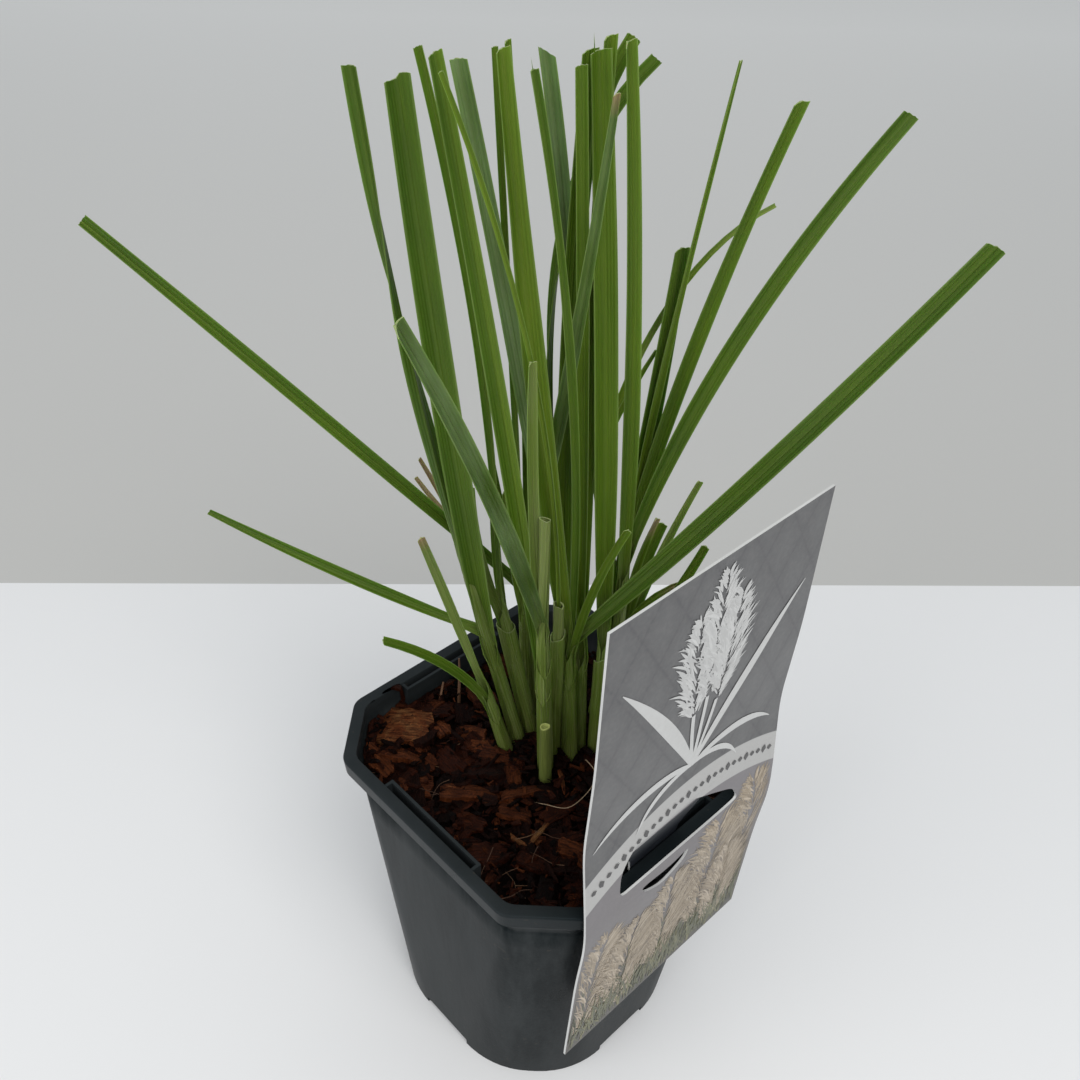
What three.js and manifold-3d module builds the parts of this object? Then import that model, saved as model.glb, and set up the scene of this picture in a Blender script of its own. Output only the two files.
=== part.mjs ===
// A young pampas grass (Cortaderia) in a square nursery pot, trimmed to one leaf length.
// Millimetres, +Z up. The ground is z = 0, and the side of the pot that carries the label faces -Y.
import * as THREE from 'three';
import { mergeVertices } from 'three/addons/utils/BufferGeometryUtils.js';
import Module from 'manifold-3d';

const wasm = await Module();
wasm.setup();

// ---- driving dimensions --------------------------------------------------------------------------

const GAP = 0.3; // clearance between pieces that touch on the real thing

// pot: 9 cm square and 10 cm tall, corners cut off at the rim and rounded towards the base
const POT_HEIGHT = 100;
const WALL = 1;
const RIM_SIDE = 90;
const RIM_DEPTH = 5;
const RIM_CORNER_CUT = 14.5;
const RIM_FILLET = 5;
const MOUTH_SIDE = 83.3;
const STEP_HEIGHT = 86;
const STEP_SIDE = 81;
const STEP_DEPTH = 0.5;
const STEP_CORNER_CUT = 12;
const BASE_SIDE = 74;
const BASE_CORNER_CUT = 17.6;
const BASE_FILLET = 27;
const FOOT_HEIGHT = 2.5;
const FOOT_WIDTH = 2;
const FOOT_NOTCH_WIDTH = 18;
const FLOOR_THICKNESS = 1.4;
const DRAIN_HOLE_RADIUS = 4;
const DRAIN_RING_RADIUS = 21;

// strap inside each side of the rim that holds a stick-in label, with a thin vent under it
const POCKET_WIDTH = 34;
const POCKET_GAP = 1.8;
const POCKET_WALL = 0.8;
const POCKET_DEPTH = 6;
const POCKET_SINK = 0.4;
const VENT_WIDTH = 15;
const VENT_HEIGHT = 1.2;

// soil and bark
const SOIL_TOP = 84;
const BARK_TOP = 87.8;
const BARK_CHIPS = 100;
const BARK_SEED = 2107;

// stems
const GROUND = 91; // height at which the stems leave the bark
const STEM_ROOT = 12; // how far they go on below it
const STEM_SIDES = 8;
const STEM_RADIUS = 1.2;
const STEM_RADIUS_LIMIT = 1.7;
const SHEATH_STEP = 0.2;
const SHEATH_TAPER = 0.3;
const CULM = { place: [-3.6, -2.4], lean: 3, heading: 170, height: 19, radius: 1.5 };

// leaves
const TRIM_LENGTH = 179; // from the bark to the cut, along stem and leaf
const LEAF_THICKNESS = 0.68; // upright through the slope of the gutter, so 0.63 across it
const LEAF_ROOT = 4;
const LEAF_STEP = 20;
const LEAF_FOLD = 0.4;
const LEAF_TWIST = 35;
const LEAF_FACE_LEAN = 50;
const LEAF_CUT_SKEW = 0.1;

// plant label: one plastic sheet outside the pot, hooked over the rim by a tongue cut from it
const LABEL_WIDTH = 69;
const LABEL_MIDDLE_X = 1.5;
const LABEL_OFFSET = 44.7;
const LABEL_THICKNESS = 0.6;

const lerp = THREE.MathUtils.lerp;
const radians = THREE.MathUtils.degToRad;
const up = new THREE.Vector3(0, 0, 1);
const RIM_BOTTOM = POT_HEIGHT - RIM_DEPTH;
const FLOOR_TOP = FOOT_HEIGHT + FLOOR_THICKNESS;
const QUARTERS = [0, 1, 2, 3].map((quarter) => (quarter * Math.PI) / 2);

// ---- solids ----------------------------------------------------------------------------------------

function toSolid(geometry) {
  const bare = geometry.clone();
  for (const name of Object.keys(bare.attributes)) {
    if (name !== 'position') bare.deleteAttribute(name);
  }
  const merged = mergeVertices(bare, 1e-4);
  const mesh = new wasm.Mesh({
    numProp: 3,
    vertProperties: Float32Array.from(merged.attributes.position.array),
    triVerts: Uint32Array.from(merged.index.array),
  });
  return new wasm.Manifold(mesh);
}

function toGeometry(solid) {
  const mesh = solid.getMesh();
  const geometry = new THREE.BufferGeometry();
  geometry.setAttribute('position', new THREE.BufferAttribute(mesh.vertProperties, 3));
  geometry.setIndex(new THREE.BufferAttribute(mesh.triVerts, 1));
  geometry.computeVertexNormals();
  return geometry;
}

const union = (solids) => solids.reduce((sum, solid) => sum.add(solid));
const cut = (solid, tools) => tools.reduce((rest, tool) => rest.subtract(tool), solid);

// The body worth keeping when a cut leaves crumbs beside it. A hollow that the joining sealed comes out
// as a body of its own, so the largest one has none left.
function largestBody(solid) {
  return solid.decompose().reduce((best, body) => (body.volume() > best.volume() ? body : best));
}

// A closed skin through rings with the same even number of points. Each ring runs counterclockwise
// as seen from the last one. The squares of its second half are split so that the two faces of a
// flat, twisted body keep their distance.
function skin(rings) {
  const count = rings[0].length;
  const last = (rings.length - 1) * count;
  const index = [];
  for (let k = 0; k < rings.length - 1; k += 1) {
    for (let i = 0; i < count; i += 1) {
      const a = k * count + i;
      const b = k * count + ((i + 1) % count);
      const c = b + count;
      const d = a + count;
      if (i < count / 2) index.push(a, b, c, a, c, d);
      else index.push(a, b, d, b, c, d);
    }
  }
  for (let i = 0; i < count / 2 - 1; i += 1) {
    const corners = [i, i + 1, count - 2 - i, count - 1 - i];
    const [a, b, c, d] = corners;
    index.push(a, c, b, a, d, c);
    index.push(last + a, last + b, last + c, last + a, last + c, last + d);
  }
  const geometry = new THREE.BufferGeometry().setFromPoints(rings.flat());
  geometry.setIndex(index);
  return toSolid(geometry);
}

// an upright prism with a round outline
function uprightCylinder(x, y, bottom, top, radius, sides = 16) {
  const geometry = new THREE.CylinderGeometry(radius, radius, top - bottom, sides);
  return toSolid(geometry.rotateX(Math.PI / 2).translate(x, y, (bottom + top) / 2));
}

// numbers between 0 and 1 that repeat from the same seed
function seededRandom(seed) {
  let state = seed;
  return () => {
    state = (state * 16807) % 2147483647;
    return state / 2147483647;
  };
}

// ---- pot -------------------------------------------------------------------------------------------

// a square outline with cut corners whose blunt corners are rounded off
function squareRing(side, cornerCut, fillet, z) {
  const half = side / 2;
  const tangent = fillet * Math.tan(Math.PI / 8);
  const arcs = [
    { x: half - fillet, y: half - cornerCut - tangent, start: 0 },
    { x: half - cornerCut - tangent, y: half - fillet, start: Math.PI / 4 },
  ];
  const arcSteps = 3;
  const ring = [];
  for (const turn of QUARTERS) {
    for (const { x, y, start } of arcs) {
      for (let i = 0; i <= arcSteps; i += 1) {
        const angle = start + (i / arcSteps) * (Math.PI / 4);
        const point = new THREE.Vector3(x + fillet * Math.cos(angle), y + fillet * Math.sin(angle), z);
        ring.push(point.applyAxisAngle(up, turn));
      }
    }
  }
  return ring;
}

// how much less of a corner is cut off an outline that lies further in
const cornerLoss = (inset) => inset * (2 - Math.SQRT2);

// the pot's outer face between the base and the step, moved in by an inset
function wallRing(z, inset) {
  const share = z / STEP_HEIGHT;
  return squareRing(
    lerp(BASE_SIDE, STEP_SIDE, share) - 2 * inset,
    lerp(BASE_CORNER_CUT, STEP_CORNER_CUT, share) - cornerLoss(inset),
    lerp(BASE_FILLET, RIM_FILLET, share) - inset,
    z,
  );
}

// an outline that runs along the rim's outer edge, with a side of its own
function rimRing(side, z) {
  const inset = (RIM_SIDE - side) / 2;
  return squareRing(side, RIM_CORNER_CUT - cornerLoss(inset), RIM_FILLET, z);
}

// the pot's inner face, moved in by an inset
function insideRing(z, inset) {
  if (z <= STEP_HEIGHT) return wallRing(z, WALL + inset);
  const share = Math.min((z - STEP_HEIGHT) / (RIM_BOTTOM - STEP_HEIGHT), 1);
  return rimRing(lerp(STEP_SIDE - 2 * WALL, MOUTH_SIDE, share) - 2 * inset, z);
}

function insideSolid(inset, bottom, top) {
  const levels = [STEP_HEIGHT, RIM_BOTTOM].filter((z) => z > bottom && z < top);
  return skin([bottom, ...levels, top].map((z) => insideRing(z, inset)));
}

// a strap across the inside of one side
function labelPocket(turn) {
  const inner = MOUTH_SIDE / 2 - POCKET_GAP - POCKET_WALL;
  const depth = POCKET_GAP + 2 * POCKET_WALL;
  const middle = POT_HEIGHT - POCKET_SINK - POCKET_DEPTH / 2;
  const block = new THREE.BoxGeometry(depth, POCKET_WIDTH, POCKET_DEPTH);
  const slot = new THREE.BoxGeometry(2 * depth, POCKET_WIDTH - 2 * POCKET_WALL, POCKET_DEPTH + 2);
  block.translate(inner + depth / 2, 0, middle).rotateZ(turn);
  slot.translate(inner + POCKET_WALL + depth, 0, middle).rotateZ(turn);
  return toSolid(block).subtract(toSolid(slot));
}

function buildPot() {
  const neck = MOUTH_SIDE + 2 * WALL;
  const body = skin([
    wallRing(0, 0),
    wallRing(STEP_HEIGHT - STEP_DEPTH, 0),
    rimRing(STEP_SIDE - 2 * STEP_DEPTH, STEP_HEIGHT),
    rimRing(neck, RIM_BOTTOM),
    rimRing(neck, POT_HEIGHT - WALL / 2),
  ]);
  const rim = skin([
    rimRing(RIM_SIDE - 0.8, RIM_BOTTOM),
    rimRing(RIM_SIDE, POT_HEIGHT - 0.6),
    rimRing(RIM_SIDE - 0.8, POT_HEIGHT),
  ]);
  const rimFold = [RIM_BOTTOM - 1, POT_HEIGHT - WALL].map((z) => rimRing(RIM_SIDE - 0.6 - 2 * WALL, z));
  const neckCore = [RIM_BOTTOM - 2, POT_HEIGHT].map((z) => rimRing(neck, z));
  const underFloor = [-1, FOOT_HEIGHT].map((z) => wallRing(z, FOOT_WIDTH));

  const tools = [skin(underFloor), insideSolid(0, FLOOR_TOP, POT_HEIGHT + 1)];
  for (const turn of QUARTERS) {
    const notch = new THREE.BoxGeometry(12, FOOT_NOTCH_WIDTH, 2 * FOOT_HEIGHT);
    const vent = new THREE.BoxGeometry(8, VENT_WIDTH, VENT_HEIGHT);
    tools.push(toSolid(notch.translate(BASE_SIDE / 2, 0, 0).rotateZ(turn)));
    tools.push(toSolid(vent.translate(neck / 2, 0, RIM_BOTTOM - 2).rotateZ(turn)));
    const x = DRAIN_RING_RADIUS * Math.cos(turn + Math.PI / 4);
    const y = DRAIN_RING_RADIUS * Math.sin(turn + Math.PI / 4);
    tools.push(uprightCylinder(x, y, 0, FLOOR_TOP + 1, DRAIN_HOLE_RADIUS));
  }
  tools.push(uprightCylinder(0, 0, 0, FLOOR_TOP + 1, DRAIN_HOLE_RADIUS));
  const shell = rim.subtract(skin(rimFold).subtract(skin(neckCore))).add(body);
  return union([cut(shell, tools), ...QUARTERS.map(labelPocket)]);
}

// ---- leafy stems -----------------------------------------------------------------------------------

// Each leafy stem stands at a place on the bark, leans by some degrees towards a compass heading
// (0 is +X, 90 is +Y) and is wrapped in leaf sheaths. A leaf parts from it at a height along the stem
// and bends from its first lean to its last one, the later the larger its curl. Its face shows to
// the facing heading. Leaves without a length of their own are trimmed to one common length.
const STEMS = [
  {
    place: [-4.8, 12.4], lean: 14, heading: 142, leaves: [
      { at: 24, heading: 163, lean: [16, 17], length: 56, width: 2.6, facing: 205 },
      { at: 15, heading: 158, lean: [23, 57], length: 44, width: 2.6, facing: 245 },
    ],
  },
  {
    place: [0.1, 12.9], lean: 13, heading: 136, leaves: [
      { at: 60, heading: 127, lean: [14, 7], length: 117, width: 3.6, facing: 88, twist: 150 },
      { at: 39, heading: 134, lean: [67, 59], length: 74, width: 2.8, facing: 250, tip: 0.5 },
      { at: 32, heading: 153, lean: [9, 6], length: 144, width: 6.2, facing: 215 },
    ],
  },
  {
    place: [4.9, 12.6], lean: 12, heading: 123, leaves: [
      { at: 45, heading: 136, lean: [1, 13.5], width: 2.3, facing: 180 },
      { at: 38, heading: 151, lean: [22, 2], length: 45, width: 2.8, facing: 230 },
      { at: 36, heading: 115, lean: [22, 32], length: 52, width: 1.8, facing: 230, tip: 0.5 },
      { at: 30, heading: 101, lean: [14, 1], length: 48, width: 2.4, facing: 200 },
    ],
  },
  {
    place: [-0.7, 0.6], lean: 4, heading: 176, leaves: [
      { at: 50, heading: 203, lean: [25.5, 33.5], length: 126, width: 4.4, facing: 240 },
      { at: 50, heading: 158, lean: [1, 2], length: 34, width: 2.8, facing: 215 },
      { at: 40, heading: 142, lean: [7, 1], length: 83, width: 3, facing: 245 },
      { at: 30, heading: 136, lean: [8, 10.5], length: 152, width: 4, facing: 220, tip: 0.68 },
    ],
  },
  {
    place: [4.4, 2.5], lean: 3, heading: 198, leaves: [
      { at: 38, heading: 171, lean: [2, 2], length: 16, width: 2.8, facing: 225 },
      { at: 35, heading: 157, lean: [0, 22], length: 147, width: 1.8, facing: 190 },
    ],
  },
  {
    place: [6.5, -1.4], lean: 5, heading: 92, leaves: [
      { at: 38, heading: 141, lean: [9, 6.5], length: 143, width: 5.2, facing: 230, tip: 0.5 },
      { at: 38, heading: 300, lean: [33.5, 28.5], length: 137, width: 4.7, facing: 200 },
      { at: 30, heading: 176, lean: [-1, 15], length: 151, width: 2, facing: 235 },
      { at: 28, heading: 285, lean: [4, 22], length: 54, width: 2.2, facing: 210 },
    ],
  },
  {
    place: [11.1, -0.6], lean: 5, heading: 74, leaves: [
      { at: 32, heading: 168, lean: [3.5, 5], length: 146, width: 2.8, facing: 200 },
      { at: 30, heading: 130, lean: [3.5, 0], length: 151, width: 3.9, facing: 240 },
    ],
  },
  {
    place: [13, -4.7], lean: 4, heading: 52, leaves: [
      { at: 40, heading: 146, lean: [3.5, 6], length: 140, width: 5.2, facing: 220 },
    ],
  },
  {
    place: [18.7, -3.7], lean: 2, heading: 45, leaves: [
      { at: 60, heading: 309, lean: [10.5, 31], width: 3.8, facing: 215 },
      { at: 50, heading: 171, lean: [2.5, 8.5], length: 132, width: 4, facing: 240 },
      { at: 40, heading: 129, lean: [10.5, -31.5], curl: 5, length: 143, width: 3.6, facing: 230 },
    ],
  },
  {
    place: [22.6, 4.2], lean: 7, heading: 13, leaves: [
      { at: 50, heading: 292, lean: [7, 16], length: 123, width: 3.5, facing: 230 },
      { at: 45, heading: 321, lean: [5, 2], length: 92, width: 4.2, facing: 215 },
      { at: 40, heading: 302, lean: [3, 7.5], length: 136, width: 2.2, facing: 250, tip: 0.3 },
    ],
  },
  {
    place: [15.7, 11.2], lean: 3, heading: 81, leaves: [
      { at: 52, heading: 158, lean: [-12, -71], curl: 3, length: 104, width: 1.6, facing: 225, tip: 0.6 },
      { at: 52, heading: 334, lean: [5, 30], length: 62, width: 1.8, facing: 250, tip: 0.5 },
      { at: 40, heading: 208, lean: [13, -5], width: 4.6, facing: 235 },
      { at: 35, heading: 141, lean: [6, -46], curl: 4, width: 3.4, facing: 103, twist: 150 },
      { at: 35, heading: 177, lean: [-2, 13.5], width: 3.8, facing: 215 },
      { at: 30, heading: 158, lean: [9.5, 12.5], width: 4, facing: 200 },
    ],
  },
  {
    place: [9.2, 17.7], lean: 4, heading: 95, leaves: [
      { at: 45, heading: 250, lean: [16, 9], width: 3, facing: 212, tip: 0.6 },
      { at: 43, heading: 135, lean: [44.5, 45.5], length: 134, width: 3.6, facing: 245 },
      { at: 43, heading: 118, lean: [58, 37], length: 41, width: 1.6, facing: 225, tip: 0.6 },
      { at: 40, heading: 173, lean: [5, 5], length: 138, width: 1.6, facing: 190 },
      { at: 35, heading: 162, lean: [1, 6], length: 143, width: 2.2, facing: 245 },
      { at: 35, heading: 127, lean: [13, 10], length: 50, width: 1.6, facing: 225, tip: 0.6 },
      { at: 30, heading: 170, lean: [13, 6], length: 48, width: 2.2, facing: 230 },
    ],
  },
  {
    place: [24.5, -3.3], lean: 8, heading: 69, leaves: [
      { at: 30, heading: 274, lean: [-1, 17], length: 43, width: 2.2, facing: 235 },
      { at: 28, heading: 327, lean: [2, 18], length: 40, width: 3, facing: 215 },
      { at: 26, heading: 336, lean: [10, 24], length: 54, width: 2.3, facing: 240 },
      { at: 20, heading: 296, lean: [24, 16], length: 50, width: 2.6, facing: 205 },
      { at: 20, heading: 316, lean: [-15, 67], length: 37, width: 2.8, facing: 240 },
    ],
  },
];

// unit vector that leans from the vertical towards a compass heading
function direction(lean, heading) {
  const tilt = radians(lean);
  const turn = radians(heading);
  return new THREE.Vector3(
    Math.sin(tilt) * Math.cos(turn), Math.sin(tilt) * Math.sin(turn), Math.cos(tilt),
  );
}

function stemPoint(stem, along) {
  const foot = new THREE.Vector3(stem.place[0], stem.place[1], GROUND);
  return foot.addScaledVector(direction(stem.lean, stem.heading), along);
}

// width of a leaf as a share of its full width: narrow at the collar, full in the middle
function leafSpread(share, tip) {
  const base = 0.62 + 0.38 * Math.sin(Math.min(share / 0.4, 1) * (Math.PI / 2));
  const end = 1 - (1 - tip) * Math.max((share - 0.45) / 0.55, 0) ** 1.5;
  return Math.min(base, end);
}

// A leaf is a gutter: its two halves rise from the midrib, and its end is cut off askew.
function leafSolid(stem, leaf) {
  const { at, heading, lean, width, facing, twist = LEAF_TWIST, curl = 1, tip = 0.78 } = leaf;
  const length = leaf.length ?? TRIM_LENGTH - at;
  const steps = Math.max(Math.round(length / LEAF_STEP), 2);
  const point = stemPoint(stem, at - LEAF_ROOT);
  const rings = [];
  for (let i = -1; i <= steps; i += 1) {
    const share = Math.max(i, 0) / steps;
    const tilt = lerp(lean[0], lean[1], share ** curl);
    const along = i < 0 ? direction(stem.lean, stem.heading) : direction(tilt, heading);
    if (i === 0) point.addScaledVector(direction(stem.lean, stem.heading), LEAF_ROOT);
    if (i > 0) {
      const middle = (i - 0.5) / steps;
      const step = direction(lerp(lean[0], lean[1], middle ** curl), heading);
      point.addScaledVector(step, length / steps);
    }
    const towards = direction(LEAF_FACE_LEAN, facing + twist * (share - 0.3));
    const face = towards.addScaledVector(along, -towards.dot(along)).normalize();
    const across = new THREE.Vector3().crossVectors(along, face);
    const half = (leafSpread(share, tip) * width) / 2;
    const skew = i === steps ? LEAF_CUT_SKEW * width : 0;
    const corner = (side, depth) => point.clone()
      .addScaledVector(across, side * half)
      .addScaledVector(face, Math.abs(side) * LEAF_FOLD * half - depth)
      .addScaledVector(along, side * skew);
    const thick = LEAF_THICKNESS;
    rings.push([
      corner(-1, 0), corner(0, 0), corner(1, 0), corner(1, thick), corner(0, thick), corner(-1, thick),
    ]);
  }
  return skin(rings);
}

// a round piece along a stem, from one place on it to another
function stemCylinder(stem, from, to, endRadius, startRadius) {
  const foot = stemPoint(stem, from);
  const geometry = new THREE.CylinderGeometry(endRadius, startRadius, to - from, STEM_SIDES);
  geometry.rotateX(Math.PI / 2).translate(0, 0, (to - from) / 2);
  const turn = new THREE.Quaternion().setFromUnitVectors(up, direction(stem.lean, stem.heading));
  return toSolid(geometry.applyQuaternion(turn).translate(foot.x, foot.y, foot.z));
}

// A stem is wrapped in leaf sheaths. The outer ones end lower than the inner ones.
function leafyStem(stem) {
  const order = [...stem.leaves].sort((a, b) => b.at - a.at);
  const sheaths = order.map((leaf, rank) => {
    const radius = Math.min(STEM_RADIUS + rank * SHEATH_STEP, STEM_RADIUS_LIMIT);
    return stemCylinder(stem, -STEM_ROOT, leaf.at + 1.5, radius, radius + SHEATH_TAPER);
  });
  return largestBody(union([...sheaths, ...order.map((leaf) => leafSolid(stem, leaf))]));
}

// the plain hole that the foot of a stem stands in
function stemHole(stem) {
  const radius = (STEM_RADIUS_LIMIT + SHEATH_TAPER + GAP) / Math.cos(Math.PI / STEM_SIDES);
  return stemCylinder(stem, -STEM_ROOT - GAP, STEM_ROOT, radius, radius);
}

// ---- growing medium --------------------------------------------------------------------------------

const stemHoles = () => [...STEMS, CULM].map(stemHole);

function buildSoil() {
  return cut(insideSolid(GAP, FLOOR_TOP + GAP, SOIL_TOP), stemHoles());
}

// one wedge-shaped chip of bark, dropped at random
function barkChip(random) {
  const length = 7 + 9 * random() ** 1.5;
  const width = length * (0.45 + 0.3 * random());
  const taper = 0.35 + 0.4 * random();
  const chip = new THREE.BoxGeometry(length, width, 1.6 + 1.6 * random());
  const position = chip.attributes.position;
  for (let i = 0; i < position.count; i += 1) {
    if (position.getX(i) > 0) position.setY(i, position.getY(i) * taper);
  }
  chip.rotateX(radians(44 * (random() - 0.5)));
  chip.rotateY(radians(36 * (random() - 0.5)));
  chip.rotateZ(2 * Math.PI * random());
  const reach = MOUTH_SIDE - 6;
  return chip.translate(
    reach * (random() - 0.5), reach * (random() - 0.5), BARK_TOP + 1.6 * random(),
  );
}

// Bark: a level bed with chips lying on it, kept inside the pot and below the label pockets.
function buildBark() {
  const random = seededRandom(BARK_SEED);
  const chips = Array.from({ length: BARK_CHIPS }, () => toSolid(barkChip(random)));
  const bottom = SOIL_TOP + GAP;
  const pockets = QUARTERS.map((turn) => {
    const depth = POCKET_GAP + POCKET_WALL + 2 * GAP + 1;
    const block = new THREE.BoxGeometry(depth, POCKET_WIDTH + 2 * GAP, 2 * POCKET_DEPTH);
    const x = MOUTH_SIDE / 2 + 1 - depth / 2;
    return toSolid(block.translate(x, 0, POT_HEIGHT - POCKET_SINK - GAP).rotateZ(turn));
  });
  const heap = union([insideSolid(GAP, bottom, BARK_TOP), ...chips]);
  const room = insideSolid(GAP, bottom, POT_HEIGHT);
  return largestBody(cut(heap.intersect(room), [...pockets, ...stemHoles()]));
}

// ---- plant label -----------------------------------------------------------------------------------

// Side view: how far the sheet stands out from its plane at some heights. The tongue leaves the sheet
// near its hinge, leans in over the rim and ends in the label pocket.
const SHEET_SIDE = [[39.5, -1.3], [75, 0], [92, 1.4], [100, 0.9], [125, -1.8], [150, -1], [189.5, -1.4]];
const TONGUE_SIDE = [[95.5, -3.95], [101, -3.75], [114, -0.6], [118, -1.05]];

// Front view: the hole that the tongue leaves, a slit below it, and the tongue.
const LABEL_HOLE = [
  [-15, 100.4], [20, 100.4], [21.3, 101.6], [19, 106], [11.3, 110], [6, 112.5], [0, 115.8],
  [-11.5, 115.6], [-17.5, 113.5], [-21.5, 108.5], [-22, 100.4],
];
const LABEL_SLIT = [[-14.3, 97.2], [-12.7, 94.2], [-6.5, 91.7], [1, 93.9], [3.6, 97.6], [-4, 96.2]];
const TONGUE_FRONT = [
  [-13, 95.5], [3, 95.5], [4, 102], [9, 109.5], [4, 118], [-16, 118], [-19, 110.5], [-13.5, 102],
];

// a strip along X from its side view
function sheetSolid(side) {
  const edge = (shift) => side.map(([z, out]) => new THREE.Vector2(shift - LABEL_OFFSET - out, z));
  const half = LABEL_THICKNESS / 2;
  const shape = new THREE.Shape([...edge(half), ...edge(-half).reverse()]);
  const geometry = new THREE.ExtrudeGeometry(shape, { depth: LABEL_WIDTH, bevelEnabled: false });
  geometry.rotateX(Math.PI / 2).rotateZ(Math.PI / 2);
  return toSolid(geometry.translate(LABEL_MIDDLE_X - LABEL_WIDTH / 2, 0, 0));
}

// a prism along Y through the sheet from its front view
function frontPrism(outline) {
  const shape = new THREE.Shape(outline.map(([x, z]) => new THREE.Vector2(x, z)));
  const geometry = new THREE.ExtrudeGeometry(shape, { depth: 30, bevelEnabled: false });
  return toSolid(geometry.rotateX(Math.PI / 2).translate(0, -30, 0));
}

function buildLabel() {
  const sheet = cut(sheetSolid(SHEET_SIDE), [frontPrism(LABEL_HOLE), frontPrism(LABEL_SLIT)]);
  return sheet.add(sheetSolid(TONGUE_SIDE).intersect(frontPrism(TONGUE_FRONT)));
}

// ---- the whole plant -------------------------------------------------------------------------------

const plant = new THREE.Group();

function addPiece(name, solid, color, roughness) {
  const material = new THREE.MeshStandardMaterial({ color, roughness, metalness: 0 });
  const mesh = new THREE.Mesh(toGeometry(solid), material);
  mesh.name = name;
  plant.add(mesh);
}

addPiece('pot', buildPot(), '#3b4144', 0.5);
addPiece('potting_soil', buildSoil(), '#2a1a12', 1);
addPiece('bark_mulch', buildBark(), '#45200f', 0.9);
addPiece('plant_label', buildLabel(), '#8d8a88', 0.4);
addPiece('cut_culm', stemCylinder(CULM, -STEM_ROOT, CULM.height, CULM.radius, CULM.radius + SHEATH_TAPER),
  '#8f9a4f', 0.8);
STEMS.forEach((stem, i) => {
  const name = `leafy_stem_${String(i + 1).padStart(2, '0')}`;
  addPiece(name, leafyStem(stem), '#4f7a2a', 0.6);
});

// the origin goes on the ground under the middle of the plant as a whole
const middle = new THREE.Box3().setFromObject(plant).getCenter(new THREE.Vector3());
plant.position.set(-middle.x, -middle.y, 0);

export default plant;
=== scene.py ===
import math

import bmesh
import bpy
import numpy as np
from mathutils import Matrix, Vector


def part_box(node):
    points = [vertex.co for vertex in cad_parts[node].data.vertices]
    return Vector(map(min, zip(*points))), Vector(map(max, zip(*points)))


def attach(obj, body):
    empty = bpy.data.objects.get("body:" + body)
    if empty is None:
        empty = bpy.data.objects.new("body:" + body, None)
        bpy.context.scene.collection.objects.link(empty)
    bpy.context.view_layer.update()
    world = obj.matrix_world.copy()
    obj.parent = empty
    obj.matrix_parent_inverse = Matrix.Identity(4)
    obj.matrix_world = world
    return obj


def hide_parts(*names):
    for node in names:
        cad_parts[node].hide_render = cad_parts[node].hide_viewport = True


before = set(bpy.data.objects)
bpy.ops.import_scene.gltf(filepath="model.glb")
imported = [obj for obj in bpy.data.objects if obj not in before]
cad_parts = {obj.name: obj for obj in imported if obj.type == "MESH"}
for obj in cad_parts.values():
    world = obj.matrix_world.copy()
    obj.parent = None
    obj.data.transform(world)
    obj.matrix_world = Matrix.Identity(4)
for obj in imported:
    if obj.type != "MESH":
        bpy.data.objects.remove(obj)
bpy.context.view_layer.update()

# Every length below is in millimetres from the pot's axis and the ground, unless it says metres.
MM = 0.001
pot_low, pot_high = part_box("pot")
ORIGIN = np.array([(pot_low[0] + pot_high[0]) / 2, (pot_low[1] + pot_high[1]) / 2, 0.0])

# the label: its width, its side view as (height, how far out), and its outlines from the front
LABEL_WIDTH, LABEL_MIDDLE_X, LABEL_OFFSET, LABEL_THICKNESS = 69.0, 1.5, 44.7, 0.6
SHEET_SIDE = [(39.5, -1.3), (75, 0), (92, 1.4), (100, 0.9), (125, -1.8), (150, -1), (189.5, -1.4)]
TONGUE_SIDE = [(95.5, -3.95), (101, -3.75), (114, -0.6), (118, -1.05)]
LABEL_HOLE = [(-15, 100.4), (20, 100.4), (21.3, 101.6), (19, 106), (11.3, 110), (6, 112.5), (0, 115.8),
              (-11.5, 115.6), (-17.5, 113.5), (-21.5, 108.5), (-22, 100.4)]
LABEL_SLIT = [(-14.3, 97.2), (-12.7, 94.2), (-6.5, 91.7), (1, 93.9), (3.6, 97.6), (-4, 96.2)]
TONGUE_FRONT = [(-13, 95.5), (3, 95.5), (4, 102), (9, 109.5), (4, 118), (-16, 118), (-19, 110.5),
                (-13.5, 102)]
# the quilt's step in metres, and the four inks of the print
QUILT_STEP = 0.0125
TALL_GRASSES, SHORT_GRASSES, BEIGE_HAIRS, WHITE_HAIRS = 150, 300, 620, 260
BEIGE, GRASS, WHITE, DARK = range(4)


def lerp(a, b, share):
    return a + (b - a) * share


def smooth(x):
    x = np.clip(x, 0.0, 1.0)
    return x * x * (3 - 2 * x)


def ring_angles(count):
    return [2 * math.pi * i / count for i in range(count)]


def directions(path):
    """Unit directions along a path of points."""
    run = np.gradient(path, axis=0)
    return run / (np.linalg.norm(run, axis=1)[:, None] + 1e-9)


def seeded(state):
    """The row of random numbers that the bark of model.glb is drawn from."""
    while True:
        state = state * 16807 % 2147483647
        yield state / 2147483647


# ---- meshes ---------------------------------------------------------------------------------------

def claim(piece, node=None):
    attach(piece, "root")
    if node:
        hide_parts(node)


def shade_smooth(mesh, sharp_angle):
    mesh.polygons.foreach_set("use_smooth", np.ones(len(mesh.polygons), bool))
    mesh.set_sharp_from_angle(angle=math.radians(sharp_angle))


def tidy_normals(piece):
    bm = bmesh.new()
    bm.from_mesh(piece.data)
    bmesh.ops.recalc_face_normals(bm, faces=bm.faces)
    bm.to_mesh(piece.data)
    bm.free()


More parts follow.
